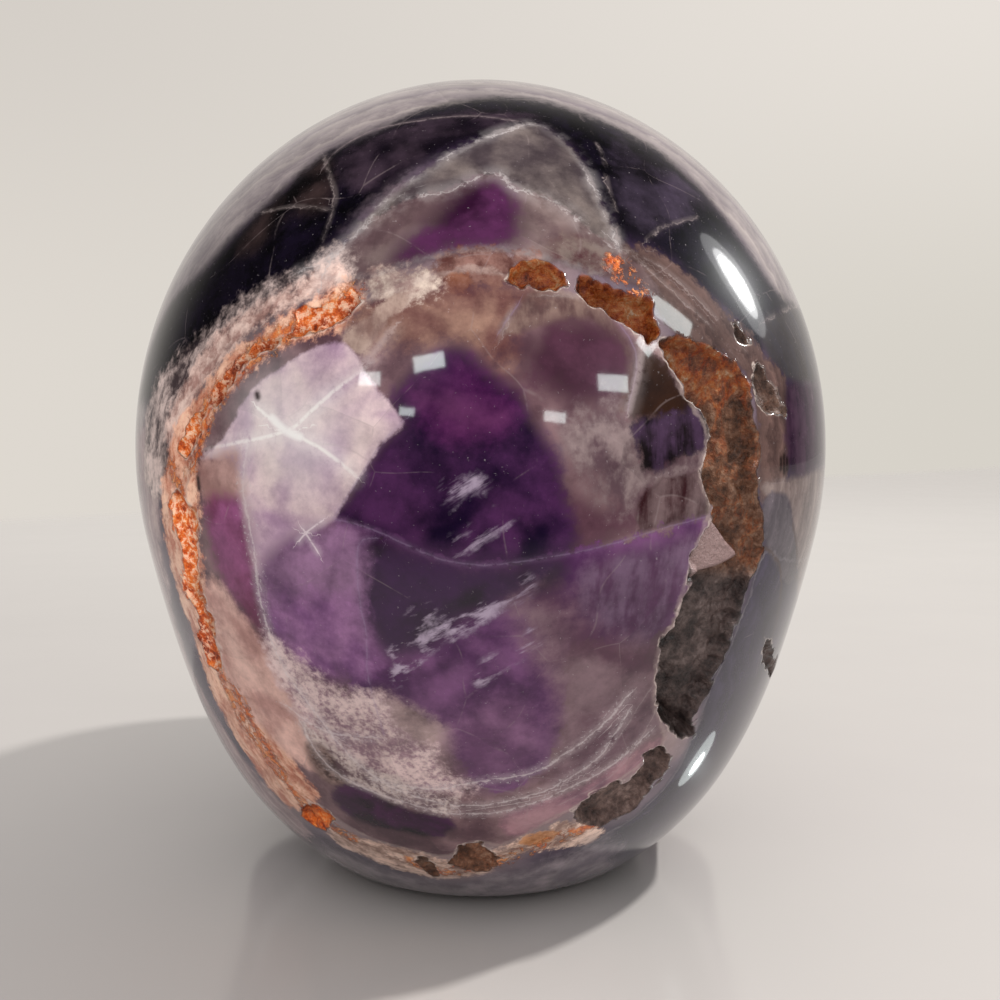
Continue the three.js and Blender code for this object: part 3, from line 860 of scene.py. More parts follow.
def make_stone():
    """The mesh of the stone, with what the material needs to know at each corner."""
    ball = bmesh.new()
    bmesh.ops.create_icosphere(ball, subdivisions=BALL_SUBDIVISIONS, radius=HEIGHT / 2)
    corners = onto_stone(HEART + np.array([corner.co[:] for corner in ball.verts]))
    faces = np.array([[corner.index for corner in face.verts] for face in ball.faces])
    ball.free()
    for _ in range(SPLITTING_ROUNDS):
        corners, faces = split_edges(corners, faces)
    depth, rust, lit, inside, steep = break_depth(corners)
    carved = corners - unit(corners - HEART) * depth[:, None]
    middle = (carved.min(0) + carved.max(0)) / 2
    shift = np.array([-middle[0], -middle[1], -carved[:, 2].min()])
    mesh = bpy.data.meshes.new("skull stone")
    mesh.from_pydata(((carved + shift) * MM).tolist(), [], faces.tolist())
    mesh.shade_smooth()
    marks = {"inside": inside, "rust": rust, "lit": lit}
    flat = on_map(corners)
    for name, outline in MAP_ZONES.items():
        distance = inward(flat, outline)
        marks[name] = distance if name == "ring" else np.clip(distance, -FAR, FAR)
    marks["steep"] = steep
    for name, lines in MAP_MARKS.items():
        measured = [near_line(flat, line) for line in lines]
        away = np.array([distance for distance, _ in measured])
        across = np.array([distance * side for distance, side in measured])
        marks[name + " line"] = away.min(0)
        marks[name + " side"] = np.take_along_axis(across, away.argmin(0)[None], 0)[0]
    for name, values in marks.items():
        mesh.attributes.new(name, "FLOAT", "POINT").data.foreach_set("value", values.astype(np.float32))
    return mesh, shift


MAP_ZONES = {name: map_of_pixels(smooth_line(points, closed=True)) for name, points in ZONES.items()}
MAP_MARKS = {
    name: [map_of_pixels(smooth_line(points)) for points in lines] for name, lines in LINES.items()
}
MAP_LINES = [line for lines in MAP_MARKS.values() for line in lines]


def colour(red, green, blue):
    """A colour as the renderer takes it."""
    channels = [value / 255 for value in (red, green, blue)]
    linear = [c / 12.92 if c <= 0.04045 else ((c + 0.055) / 1.055) ** 2.4 for c in channels]
    return (*linear, 1.0)


class Nodes:
    """A node tree, with short names for the nodes it takes."""

    def __init__(self, tree, place):
        self.tree = tree
        self.place = self.scaled(self.node("TexCoord").outputs[place], 1 / MM)

    def node(self, kind, **settings):
        made = self.tree.nodes.new("ShaderNode" + kind)
        for key, value in settings.items():
            setattr(made, key, value)
        return made

    def feed(self, socket, value):
        if isinstance(value, bpy.types.NodeSocket):
            self.tree.links.new(value, socket)
        else:
            socket.default_value = value

    def scaled(self, vector, factor):
        made = self.node("VectorMath", operation="SCALE")
        self.feed(made.inputs[0], vector)
        self.feed(made.inputs["Scale"], factor)
        return made.outputs[0]

    def math(self, operation, *values, clamp=False):
        made = self.node("Math", operation=operation, use_clamp=clamp)
        for socket, value in zip(made.inputs, values):
            self.feed(socket, value)
        return made.outputs[0]

    def mark(self, name):
        return self.node("Attribute", attribute_name=name).outputs["Fac"]

    def noise(self, size, detail=3, roughness=0.5, stretch=(1, 1, 1), shift=0.0, bend=0.0, turn=0):
        """Noise from 0 to 1 whose main features are as many millimetres wide as the size. It can
        be turned about the Y axis before it is stretched."""
        place = self.place
        if turn:
            turned = self.node("VectorRotate", rotation_type="Y_AXIS")
            self.feed(turned.inputs["Vector"], place)
            self.feed(turned.inputs["Angle"], math.radians(turn))
            place = turned.outputs[0]
        moved = self.node("Mapping")
        self.feed(moved.inputs["Vector"], place)
        self.feed(moved.inputs["Scale"], stretch)
        self.feed(moved.inputs["Location"], (shift, shift, shift))
        return self.noise_at(moved.outputs[0], size, detail, roughness, bend)

    def noise_at(self, place, size, detail, roughness, bend=0.0):
        made = self.node("TexNoise", noise_dimensions="3D")
        self.feed(made.inputs["Vector"], place)
        self.feed(made.inputs["Scale"], 1 / size)
        self.feed(made.inputs["Detail"], detail)
        self.feed(made.inputs["Roughness"], roughness)
        self.feed(made.inputs["Distortion"], bend)
        return made.outputs["Fac"]

    def ridges(self, size, width, **settings):
        """Soft wandering threads, 1 in their middle, where noise crosses its mean."""
        away = self.math("ABSOLUTE", self.math("SUBTRACT", self.noise(size, **settings), 0.5))
        return self.step(away, width, 0.0)

    def cells(self, size, wander):
        """Broken facets: how near a place is to their cracks, in millimetres, and a random
        value for each."""
        bend = self.node("TexNoise", noise_dimensions="3D")
        self.feed(bend.inputs["Vector"], self.place)
        self.feed(bend.inputs["Scale"], 0.6 / size)
        bent = self.node("VectorMath", operation="ADD")
        self.feed(bent.inputs[0], self.place)
        self.feed(bent.inputs[1], self.scaled(bend.outputs["Color"], wander))
        edge = self.node("TexVoronoi", feature="DISTANCE_TO_EDGE")
        cell = self.node("TexVoronoi", feature="F1")
        for made in (edge, cell):
            self.feed(made.inputs["Vector"], bent.outputs[0])
            self.feed(made.inputs["Scale"], 1 / size)
        random = self.node("SeparateColor")
        self.feed(random.inputs[0], cell.outputs["Color"])
        return self.math("MULTIPLY", edge.outputs["Distance"], size), random.outputs[0]

    def step(self, value, low, high, top=1.0):
        """Rises smoothly from 0 at low to top at high."""
        made = self.node("MapRange", interpolation_type="SMOOTHSTEP")
        self.feed(made.inputs["Value"], value)
        self.feed(made.inputs["From Min"], low)
        self.feed(made.inputs["From Max"], high)
        self.feed(made.inputs["To Max"], top)
        return made.outputs[0]

    def mix(self, factor, first, second):
        made = self.node("Mix", data_type="RGBA")
        self.feed(made.inputs["Factor"], factor)
        self.feed(made.inputs[6], first)
        self.feed(made.inputs[7], second)
        return made.outputs[2]

    def ramp(self, value, stops):
        """A colour band; its stops are values of the input from the first to the last."""
        low, high = stops[0][0], stops[-1][0]
        spread = self.math("DIVIDE", self.math("SUBTRACT", value, low), high - low)
        made = self.node("ValToRGB")
        self.feed(made.inputs["Fac"], spread)
        elements = made.color_ramp.elements
        while len(elements) < len(stops):
            elements.new(0.5)
        for element, (place, shade) in zip(elements, stops):
            element.position = (place - low) / (high - low)
            element.color = colour(*shade)
        return made.outputs["Color"]

    def bump(self, height, strength, distance):
        made = self.node("Bump")
        self.feed(made.inputs["Height"], height)
        self.feed(made.inputs["Strength"], strength)
        self.feed(made.inputs["Distance"], distance)
        return made.outputs["Normal"]


# Distances inside the ring, below zero outside it, between which the bands take over from the zones
ZONES_END = (-46.0, -32.0)

# How each zone is painted, in order: its darker and its paler colour, the texture that mixes
# them, how soft its edge is and how far the edge wanders on a wide and on a fine scale, all in
# millimetres, and how much of it covers
PAINT = [
    ("left edge", (116, 80, 100), (200, 178, 172), "rings", 1.5, 1.5, 0.5, 0.9),
    ("limb", (110, 98, 108), (164, 154, 150), "rings", 1.8, 0.8, 0.4, 0.95),
    ("crown", (3, 2, 6), (16, 9, 26), "clouds", 1.5, 0.5, 0.5, 1.0),
    ("crown violet", (16, 8, 20), (62, 48, 60), "smoke", 1.2, 0.6, 0.4, 0.9),
    ("crown brown", (2, 0, 0), (56, 42, 42), "smoke", 1.6, 0.5, 0.4, 0.9),
    ("shoulder glow", (16, 12, 18), (62, 52, 68), "smoke", 1.6, 0.5, 0.4, 0.9),
    ("blue grey", (64, 58, 54), (54, 52, 62), "rings", 0.8, 0.5, 0.4, 0.95),
    ("right grey", (40, 26, 26), (120, 94, 88), "rings", 0.5, 0.9, 0.6, 0.95),
    ("peak", (68, 58, 62), (122, 110, 106), "smoke", 0.5, 0.3, 0.3, 0.96),
    ("mauve", (94, 72, 76), (128, 110, 108), "smoke", 0.3, 0.4, 0.4, 0.95),
    ("violet patch", (38, 0, 36), (82, 38, 76), "smoke", 1.6, 0.6, 0.4, 0.95),
    ("pink top", (74, 36, 42), (124, 110, 104), "lace", 0.8, 1.0, 0.6, 0.8),
    ("lace", (72, 58, 60), (216, 194, 188), "fibres", 1.2, 0.7, 1.0, 0.95),
    ("pink lace", (190, 146, 136), (246, 218, 206), "fibres", 0.8, 0.5, 0.8, 0.85),
    ("left vein", (210, 122, 88), (254, 210, 182), "fibres", 0.6, 0.8, 0.8, 0.85),
    ("foot vein", (150, 112, 96), (254, 220, 202), "fibres", 0.5, 0.8, 0.8, 0.9),
    ("top crust", (78, 36, 28), (140, 104, 96), "lace", 0.5, 0.6, 0.9, 0.9),
    ("top stain", (96, 44, 26), (148, 98, 74), "clouds", 0.4, 0.5, 0.6, 0.9),
    ("foot stain", (170, 98, 24), (218, 158, 110), "clouds", 0.4, 0.5, 0.6, 0.9),
    ("chalcedony", (16, 9, 31), (56, 46, 73), "rings", 0.9, 0.6, 0.3, 1.0),
    # Grey-violet stone at the foot, painted paler as painted light thrown up from the table
    ("foot band", (104, 94, 106), (156, 144, 150), "smoke", 3.0, 1.5, 0.6, 0.95),
    ("pale edge", (74, 54, 56), (144, 128, 123), "rings", 0.6, 0.5, 0.4, 0.95),
    ("blue wedge", (40, 34, 44), (98, 88, 96), "rings", 0.4, 0.4, 0.3, 0.95),
    ("edge violet", (40, 16, 40), (68, 44, 64), "streaks", 0.8, 0.5, 0.4, 0.95),
    ("peach", (98, 58, 56), (164, 130, 112), "smoke", 1.2, 1.0, 0.8, 0.85),
    ("white brow", (140, 112, 108), (216, 198, 184), "lace", 0.7, 0.9, 1.0, 0.9),
    ("shard", (88, 64, 62), (134, 110, 102), "streaks", 0.4, 0.3, 0.3, 0.85),
    ("upper violet", (40, 2, 28), (80, 46, 64), "smoke", 1.6, 1.0, 0.5, 0.9),
    ("tan", (64, 34, 50), (94, 62, 74), "smoke", 1.4, 0.8, 0.5, 0.9),
    ("fog", (82, 62, 70), (140, 122, 122), "fog", 1.8, 1.2, 1.0, 0.9),
    ("smoky crystal", (2, 0, 0), (48, 27, 17), "smoke", 0.8, 0.5, 0.4, 0.95),
    ("violet facet", (0, 0, 2), (70, 50, 74), "streaks", 0.5, 0.4, 0.5, 0.95),
    ("right pink", (42, 6, 12), (110, 90, 92), "streaks", 0.4, 0.5, 0.4, 0.9),
    ("lit strip", (130, 102, 96), (176, 152, 140), "streaks", 0.3, 0.3, 0.3, 0.85),
    ("core", (16, 0, 36), (78, 38, 82), "smoke", 1.0, 0.3, 0.3, 0.98),
    ("core glow", (64, 2, 66), (98, 46, 90), "smoke", 1.6, 0.8, 0.4, 0.85),
    ("purple", (62, 0, 70), (120, 72, 120), "smoke", 0.4, 1.2, 0.6, 0.95),
    ("right violet", (70, 30, 66), (104, 78, 104), "streaks", 1.4, 0.8, 0.5, 0.9),
    ("dark smoke", (4, 0, 10), (52, 18, 62), "smoke", 1.6, 0.8, 0.5, 0.9),
    ("beige", (82, 46, 66), (132, 106, 114), "smoke", 2.2, 1.0, 0.6, 0.85),
    # Painted reflection: the pale, sharp-edged shine of a bright window over lilac stone
    ("lilac window reflection", (174, 140, 168), (222, 200, 198), "smoke", 0.25, 0.25, 0.15, 0.95),
    ("left grey", (156, 116, 110), (196, 158, 152), "smoke", 0.8, 0.7, 0.5, 0.9),
    ("magenta", (96, 0, 62), (148, 80, 128), "smoke", 1.2, 0.6, 0.4, 0.9),
    ("left beige", (186, 138, 130), (236, 196, 184), "smoke", 1.2, 0.7, 0.5, 0.9),
    ("left lilac", (92, 56, 94), (150, 110, 146), "smoke", 1.1, 0.4, 0.3, 0.95),
    ("left purple", (104, 50, 112), (162, 114, 158), "smoke", 2.0, 0.8, 0.5, 0.9),
    ("pale beige", (136, 110, 114), (186, 160, 158), "smoke", 1.2, 0.8, 0.6, 0.9),
    ("low glow", (96, 54, 94), (132, 90, 126), "smoke", 2.4, 0.6, 0.4, 0.9),
    ("frost left", (156, 124, 138), (230, 206, 202), "frost", 1.4, 1.0, 1.2, 0.8),
    ("low pink", (106, 60, 88), (168, 126, 134), "smoke", 0.8, 0.5, 0.4, 0.9),
    ("frost outer", (110, 84, 92), (226, 208, 202), "frost", 0.8, 0.6, 0.8, 0.8),
    ("smoky patch", (56, 26, 22), (144, 118, 112), "frost", 0.8, 0.5, 0.4, 0.9),
    ("low violet", (8, 0, 16), (76, 16, 76), "smoke", 0.8, 0.6, 0.5, 0.95),
]

# Frost along the inside of the edges of zones: its colour, how wide it is in millimetres, and how
# much it covers
FRINGES = [
    ("peak", (176, 168, 168), 0.8, 0.3),
    ("ring", (200, 180, 172), 0.7, 0.4),
    ("chalcedony", (150, 142, 150), 0.4, 0.3),
]

# Thin marks: colour, half width and how far they wander in millimetres, how much they cover, and how
# many times wider the glow round them is. Those that wander most are broken into longer pieces.
MARKS = [
    ("lace lines", (200, 192, 192), 0.13, 1.2, 0.6, 12),
    ("veil lines", (226, 214, 216), 0.15, 0.6, 0.58, 9),
    ("layers", (176, 158, 160), 0.10, 0.4, 0.35, 5),
    ("edges", (150, 130, 160), 0.09, 0.2, 0.35, 6),
    # This row and the next three are painted light: glints, with a painted glow round them
    ("lit edges", (206, 188, 188), 0.40, 0.25, 0.4, 4),
    ("star", (255, 250, 246), 0.20, 0.15, 0.95, 8),
    ("small star", (250, 236, 240), 0.10, 0.06, 0.65, 8),
    ("glints", (255, 252, 250), 0.45, 0.0, 1.0, 18),
    ("cracks", (160, 146, 144), 0.08, 0.9, 0.5, 6),
    ("seams", (66, 46, 42), 0.20, 0.5, 0.85, 3),
    # Painted shade: dark dots where small holes are
    ("holes", (24, 10, 10), 0.30, 0.0, 0.95, 2),
]
BROKEN_FROM = 0.6

# Feathery bundles along lines: colour, half width in millimetres, and how much they cover
PLUMES = [
    ("wisps", (186, 168, 190), 1.5, 0.85),
]


class Stone(Nodes):
    """The nodes of the amethyst, with the textures that its zones share."""

    def __init__(self, tree):
        super().__init__(tree, "Object")
        self.clouds = self.noise(16, detail=3)
        self.drift = self.noise(4.5, detail=5, roughness=0.62)
        self.grain = self.noise(1.1, detail=4, roughness=0.7)
        self.wide = self.math("SUBTRACT", self.drift, 0.5)
        self.fine = self.math("SUBTRACT", self.grain, 0.5)
        self.textures = {
            "clouds": self.step(self.math("MULTIPLY_ADD", self.fine, 0.4, self.drift), 0.32, 0.68),
            "smoke": self.smoke(),
            "lace": self.lace(),
            "fibres": self.fibres(),
            "frost": self.frosted(),
            "fog": self.fog(),
            "streaks": self.streaks(),
            "rings": self.rings(),
        }
        plumes = self.noise(1.5, detail=4, roughness=0.62, stretch=(1, 1, 0.16), shift=91.0, turn=57)
        self.feathers = self.step(self.math("MULTIPLY_ADD", self.wide, 0.5, plumes), 0.46, 0.62)

    def smoke(self):
        """Wide soft clouds."""
        soft = self.noise(7.5, detail=2, roughness=0.45, shift=5.0, bend=0.6)
        soft = self.math("MULTIPLY_ADD", self.wide, 0.35, soft)
        return self.step(self.math("MULTIPLY_ADD", self.fine, 0.12, soft), 0.3, 0.7)

    def lace(self):
        """Small ragged flakes."""
        flakes = self.noise(1.9, detail=4, roughness=0.68, shift=31.0)
        return self.step(self.math("MULTIPLY_ADD", self.wide, 0.7, flakes), 0.3, 0.72)

    def fibres(self):
        """Fine threads that run round the ring."""
        around = self.node("VectorMath", operation="MULTIPLY_ADD")
        self.feed(around.inputs[0], self.place)
        self.feed(around.inputs[1], (1, 0, 1))
        self.feed(around.inputs[2], (-HEART[0], 0, -HEART[2]))
        along = self.node("VectorMath", operation="NORMALIZE")
        self.feed(along.inputs[0], around.outputs[0])
        outward = self.node("CombineXYZ")
        self.feed(outward.inputs["Y"], self.math("MULTIPLY_ADD", self.wide, 5.0, self.mark("ring")))
        bent = self.node("VectorMath", operation="MULTIPLY_ADD")
        self.feed(bent.inputs[0], along.outputs[0])
        self.feed(bent.inputs[1], (14, 14, 14))
        self.feed(bent.inputs[2], outward.outputs[0])
        threads = self.noise_at(bent.outputs[0], 1.3, 4, 0.7)
        threads = self.math("MULTIPLY_ADD", self.wide, 0.8, threads)
        return self.step(self.math("MULTIPLY_ADD", self.fine, 0.35, threads), 0.3, 0.7)

    def frosted(self):
        """Fine grains, denser in some places."""
        grains = self.noise(0.7, detail=3, roughness=0.7, shift=43.0)
        return self.step(self.math("MULTIPLY_ADD", self.wide, 1.1, grains), 0.3, 0.66)

    def fog(self):
        """Haze in patches a little wider than high."""
        haze = self.noise(3.0, detail=4, roughness=0.64, stretch=(1, 1, 0.7), shift=71.0)
        return self.step(self.math("MULTIPLY_ADD", self.wide, 0.6, haze), 0.36, 0.64)

    def streaks(self):
        """Upright streaks."""
        long = self.noise(1.8, detail=4, roughness=0.6, stretch=(1, 1, 0.16), shift=13.0)
        return self.step(self.math("MULTIPLY_ADD", self.wide, 0.8, long), 0.32, 0.68)

    def rings(self):
        """Streaks that run round the ring."""
        made = self.node("TexNoise", noise_dimensions="1D")
        outward = self.math("MULTIPLY_ADD", self.wide, 5.0, self.mark("ring"))
        self.feed(made.inputs["W"], self.math("MULTIPLY_ADD", self.fine, 0.8, outward))
        self.feed(made.inputs["Scale"], 0.42)
        self.feed(made.inputs["Detail"], 5.0)
        self.feed(made.inputs["Roughness"], 0.62)
        return self.step(self.math("MULTIPLY_ADD", self.wide, 0.5, made.outputs["Fac"]), 0.12, 0.88)

    def warped(self, value, wander, fringe):
        """A distance that wanders on a wide and on a fine scale, in millimetres."""
        value = self.math("MULTIPLY_ADD", self.wide, wander * 4, value)
        return self.math("MULTIPLY_ADD", self.fine, fringe * 4, value)

    def bands(self):
        """The bands outside the ring, which carry on over the sides and the face."""
        outward = self.math("MULTIPLY", self.mark("ring"), -1.0)
        outward = self.math("MULTIPLY_ADD", self.math("SUBTRACT", self.clouds, 0.5), 26.0, outward)
        outward = self.math("MULTIPLY_ADD", self.wide, 7.0, outward)
        outward = self.math("MULTIPLY_ADD", self.fine, 1.2, outward)
        return self.ramp(outward, [
            (0, (150, 128, 130)), (6, (110, 94, 108)), (10, (60, 44, 68)), (16, (44, 28, 54)),
            (21, (104, 90, 102)), (28, (146, 132, 140)), (33, (96, 70, 102)), (42, (60, 32, 72)),
            (46, (190, 180, 186)), (49, (124, 104, 128)), (58, (70, 38, 82)), (64, (104, 76, 116)),
            (70, (200, 190, 194)), (73, (138, 118, 140)), (84, (72, 40, 88)), (92, (118, 90, 128)),
            (97, (194, 184, 190)), (101, (112, 82, 124)), (114, (62, 32, 76)), (130, (114, 88, 126)),
        ])

    def zones(self, bands):
        """The zones of the back, painted over the bands and giving way to them on the sides."""
        paint = bands
        inner = self.mix(self.textures["smoke"], colour(84, 56, 66), colour(138, 108, 112))
        paint = self.mix(self.step(self.warped(self.mark("ring"), 0.3, 0.3), -0.4, 0.4), paint, inner)
        for name, dark, pale, texture, soft, wander, fringe, cover in PAINT:
            amount = self.step(self.warped(self.mark(name), wander, fringe), -soft, soft, cover)
            paint = self.mix(amount, paint, colour(*dark))
            paint = self.mix(self.math("MULTIPLY", amount, self.textures[texture]), paint, colour(*pale))
        near_ring = self.step(self.warped(self.mark("ring"), 1.4, 0.4), *ZONES_END)
        return self.mix(near_ring, bands, paint)

    def facets(self, paint):
        """Inner facets, each a little lighter or darker, and the fine cracks between them."""
        crack, tint = self.cells(15.0, 12.0)
        tint = self.math("MULTIPLY_ADD", tint, 0.22, 0.9)
        tint = self.math("MULTIPLY_ADD", self.wide, 0.9, tint)
        paint = self.scaled(paint, self.math("MULTIPLY_ADD", self.fine, 0.5, tint))
        line = self.math("MULTIPLY", self.step(crack, 0.12, 0.0, 0.22), self.step(self.drift, 0.46, 0.6))
        return self.mix(line, paint, colour(158, 142, 142))

    def frost(self, paint):
        """Frost along the edges of zones, and dust, most of it near the veil."""
        for name, shade, width, cover in FRINGES:
            inward_by = self.warped(self.mark(name), 0.3, 0.3)
            amount = self.math("MULTIPLY", self.step(inward_by, -0.3, 0.1), self.step(inward_by, width, 0.2))
            amount = self.math("MULTIPLY", amount, self.math("MULTIPLY_ADD", self.textures["lace"], 0.7, 0.3))
            paint = self.mix(self.math("MULTIPLY", amount, cover), paint, colour(*shade))
        specks = self.noise(0.4, detail=2, roughness=0.65)
        near_veil = self.step(self.mark("veil lines line"), 2.2, 0.2)
        low = self.math("MULTIPLY_ADD", near_veil, -0.11, 0.68)
        dust = self.math("MULTIPLY_ADD", near_veil, 0.2, 0.25)
        dust = self.math("MULTIPLY", dust, self.step(self.math("SUBTRACT", specks, low), 0.0, 0.1))
        return self.mix(dust, paint, colour(206, 196, 200))

    def marks(self, paint):
        """The thin marks and the feathery bundles."""
        for name, shade, half, wander, cover, wide in MARKS:
            near = self.mark(name + " line")
            across = near
            if wander:
                across = self.warped(self.mark(name + " side"), wander * 0.5, wander * 0.4)
                across = self.math("ABSOLUTE", across)
            core = self.math("MULTIPLY", self.step(across, half * 2, 0.0, cover), self.step(near, 1.3, 0.8))
            glow = self.step(near, half * wide, 0.0, cover * 0.35)
            amount = self.math("MAXIMUM", core, glow)
            if wander:
                long_gaps = wander > BROKEN_FROM
                gaps = self.step(self.drift, 0.4, 0.58) if long_gaps else self.step(self.grain, 0.25, 0.55)
                amount = self.math("MULTIPLY", amount, gaps)
            # The painted glints of the star fade with distance from its bright middle
            if name == "star":
                amount = self.math("MULTIPLY", amount, self.step(self.mark("glints line"), 12.0, 1.0))
            paint = self.mix(amount, paint, colour(*shade))
        for name, shade, half, cover in PLUMES:
            amount = self.step(self.warped(self.mark(name + " line"), 0.8, 0.4), half, 0.2, cover)
            paint = self.mix(self.math("MULTIPLY", amount, self.feathers), paint, colour(*shade))
        return paint

    def orange(self, crumb, patch):
        """Granular rust, from deep orange to pale grains."""
        return self.ramp(self.math("MULTIPLY_ADD", self.math("SUBTRACT", crumb, 0.5), 1.0, patch), [
            (0.25, (112, 34, 6)), (0.4, (190, 76, 14)), (0.55, (228, 116, 38)), (0.68, (242, 160, 96)),
            (0.8, (252, 214, 182)),
        ])

    def rock(self, crumb, patch):
        """The rough floors: grey-brown rock with pinkish sand, and orange where there is rust, with
        painted shade near the steep wall and painted light and shade by how lit each break is.
        """
        bare = self.ramp(self.math("MULTIPLY_ADD", self.math("SUBTRACT", crumb, 0.5), 0.9, patch), [
            (0.2, (48, 34, 34)), (0.42, (92, 74, 72)), (0.58, (128, 106, 102)), (0.75, (168, 146, 142)),
        ])
        sand = self.math("MULTIPLY_ADD", self.math("SUBTRACT", crumb, 0.5), 1.1, patch)
        sand = self.ramp(sand, [(0.25, (96, 58, 38)), (0.5, (152, 100, 72)), (0.75, (204, 158, 130))])
        threads = self.ridges(3.2, 0.08, detail=4, roughness=0.6, stretch=(1, 1, 0.45), shift=83.0, bend=1.2)
        rust = self.mark("rust")
        floor = self.mix(self.step(rust, 0.05, 0.35), bare, sand)
        amount = self.math("MULTIPLY_ADD", patch, 0.6, self.math("MULTIPLY", threads, 0.22))
        amount = self.step(self.math("ADD", amount, rust), 0.7, 1.15)
        floor = self.mix(amount, floor, self.orange(crumb, patch))
        pale = self.math("MULTIPLY", self.step(crumb, 0.47, 0.6, 0.75), self.step(rust, 0.85, 1.0))
        floor = self.mix(pale, floor, colour(246, 206, 178))
        # Painted shade: the floor is darkened near the steep wall
        dark = self.step(self.mark("steep"), 1.6, 0.0, 0.55)
        floor = self.mix(dark, floor, colour(52, 34, 28))
        floor = self.mix(self.step(self.mark("ledge"), -0.1, 0.3, 0.9), floor, colour(172, 142, 140))
        # Painted light and shade: the colour is scaled by how lit each break is
        return self.scaled(floor, self.mark("lit"))


def amethyst():
    """Polished banded amethyst with rough breaks."""
    material = bpy.data.materials.new("banded amethyst")
    material.use_nodes = True
    shader = material.node_tree.nodes["Principled BSDF"]
    m = Stone(material.node_tree)
    crumb = m.noise(0.9, detail=4, roughness=0.7, shift=7.0)
    patch = m.noise(2.8, detail=4, roughness=0.6, shift=19.0)

    paint = m.marks(m.frost(m.facets(m.zones(m.bands()))))

    # The granular seam, which fills the vein where it isn't open
    away = m.warped(m.mark("orange seam line"), 0.8, 0.7)
    seam = m.math("MULTIPLY", m.step(away, 1.5, 0.4), m.step(m.math("ADD", crumb, m.wide), 0.4, 0.52, 0.92))
    paint = m.mix(seam, paint, m.orange(crumb, patch))

    rough = m.step(m.mark("inside"), -0.1, 0.1)
    paint = m.mix(rough, paint, m.rock(crumb, patch))
    # Painted highlight: a pale broken line along the rim of each break, on its steep side
    rim = m.step(m.math("ABSOLUTE", m.math("ADD", m.mark("inside"), 0.1)), 0.2, 0.0, 0.6)
    rim = m.math("MULTIPLY", rim, m.step(m.mark("steep"), 1.2, 0.4))
    paint = m.mix(m.math("MULTIPLY", rim, m.step(m.grain, 0.4, 0.6)), paint, colour(224, 206, 196))

    coarse = m.math("MAXIMUM", rough, m.math("MULTIPLY", seam, 0.7))
    polish = m.math("MULTIPLY_ADD", m.grain, 0.05, 0.03)
    broken = m.math("MULTIPLY_ADD", crumb, 0.4, 0.28)
    smooth = m.math("MULTIPLY", m.math("SUBTRACT", 1.0, coarse), polish)
    height = m.math("MULTIPLY", m.math("MULTIPLY_ADD", m.grain, 0.6, crumb), coarse)
    m.feed(shader.inputs["Base Color"], paint)
    m.feed(shader.inputs["Roughness"], m.math("MULTIPLY_ADD", coarse, broken, smooth))
    m.feed(shader.inputs["Normal"], m.bump(height, 0.8, 0.7 * MM))
    shader.inputs["IOR"].default_value = 1.54
    shader.inputs["Specular IOR Level"].default_value = 0.32
    shader.inputs["Coat Weight"].default_value = 0.18
    shader.inputs["Coat Roughness"].default_value = 0.32
    return material


# The far edge of the table in the picture, how far it goes on beyond each side in picture widths,
# and in millimetres how far in from its edges the table fades and how far it reaches to the front
TABLE_EDGE = ((0, 515), (1000, 464))
TABLE_BEYOND = 0.5
TABLE_FADE = 90.0
TABLE_FRONT = 200.0


def table_top():
    """A pale, softly shining table, with painted light that makes it lighter towards the back, and
    which fades into the wall at its far edge.
    """
    material = bpy.data.materials.new("pale table")
    material.use_nodes = True
    shader = material.node_tree.nodes["Principled BSDF"]
    m = Nodes(material.node_tree, "Object")
    cloud = m.noise(60)
    where = m.node("SeparateXYZ")
    m.feed(where.inputs[0], m.place)
    near = m.mix(cloud, colour(194, 190, 188), colour(202, 198, 195))
    # Painted light: the table gets lighter towards the back
    far = m.step(where.outputs["Y"], -20, -560)
    m.feed(shader.inputs["Base Color"], m.mix(far, near, colour(244, 241, 237)))
    m.feed(shader.inputs["Roughness"], m.math("MULTIPLY_ADD", cloud, 0.08, 0.12))
    m.feed(shader.inputs["Alpha"], m.step(m.mark("from edge"), 0.0, TABLE_FADE))
    shader.inputs["IOR"].default_value = 1.45
    return material


def point_on_table(pixel):
    """The point of the table at a pixel."""
    ray = rays_through([pixel])[0]
    return EYE - ray * EYE[2] / ray[2]


def add_table(shift):
    """The table, from its far edge, which crosses the picture behind the stone, to under the
    camera."""
    left, right = (point_on_table(pixel) for pixel in TABLE_EDGE)
    along = (right - left) * TABLE_BEYOND
    start, end = left - along, right + along
    corners, from_edge = [], []
    for row, inside in enumerate((0.0, TABLE_FADE, TABLE_FADE, 0.0)):
        for corner in (start, end):
            front = np.array([corner[0], TABLE_FRONT, 0])
            corners.append(corner + (0, inside, 0) if row < 2 else front - (0, inside, 0))
            from_edge.append(inside)
    mesh = bpy.data.meshes.new("table")
    places = [((corner + shift) * MM * (1, 1, 0)).tolist() for corner in corners]
    mesh.from_pydata(places, [], [(0, 1, 3, 2), (2, 3, 5, 4), (4, 5, 7, 6)])
    mesh.attributes.new("from edge", "FLOAT", "POINT").data.foreach_set("value", from_edge)
    table = bpy.data.objects.new("table", mesh)
    bpy.context.scene.collection.objects.link(table)
    mesh.materials.append(table_top())


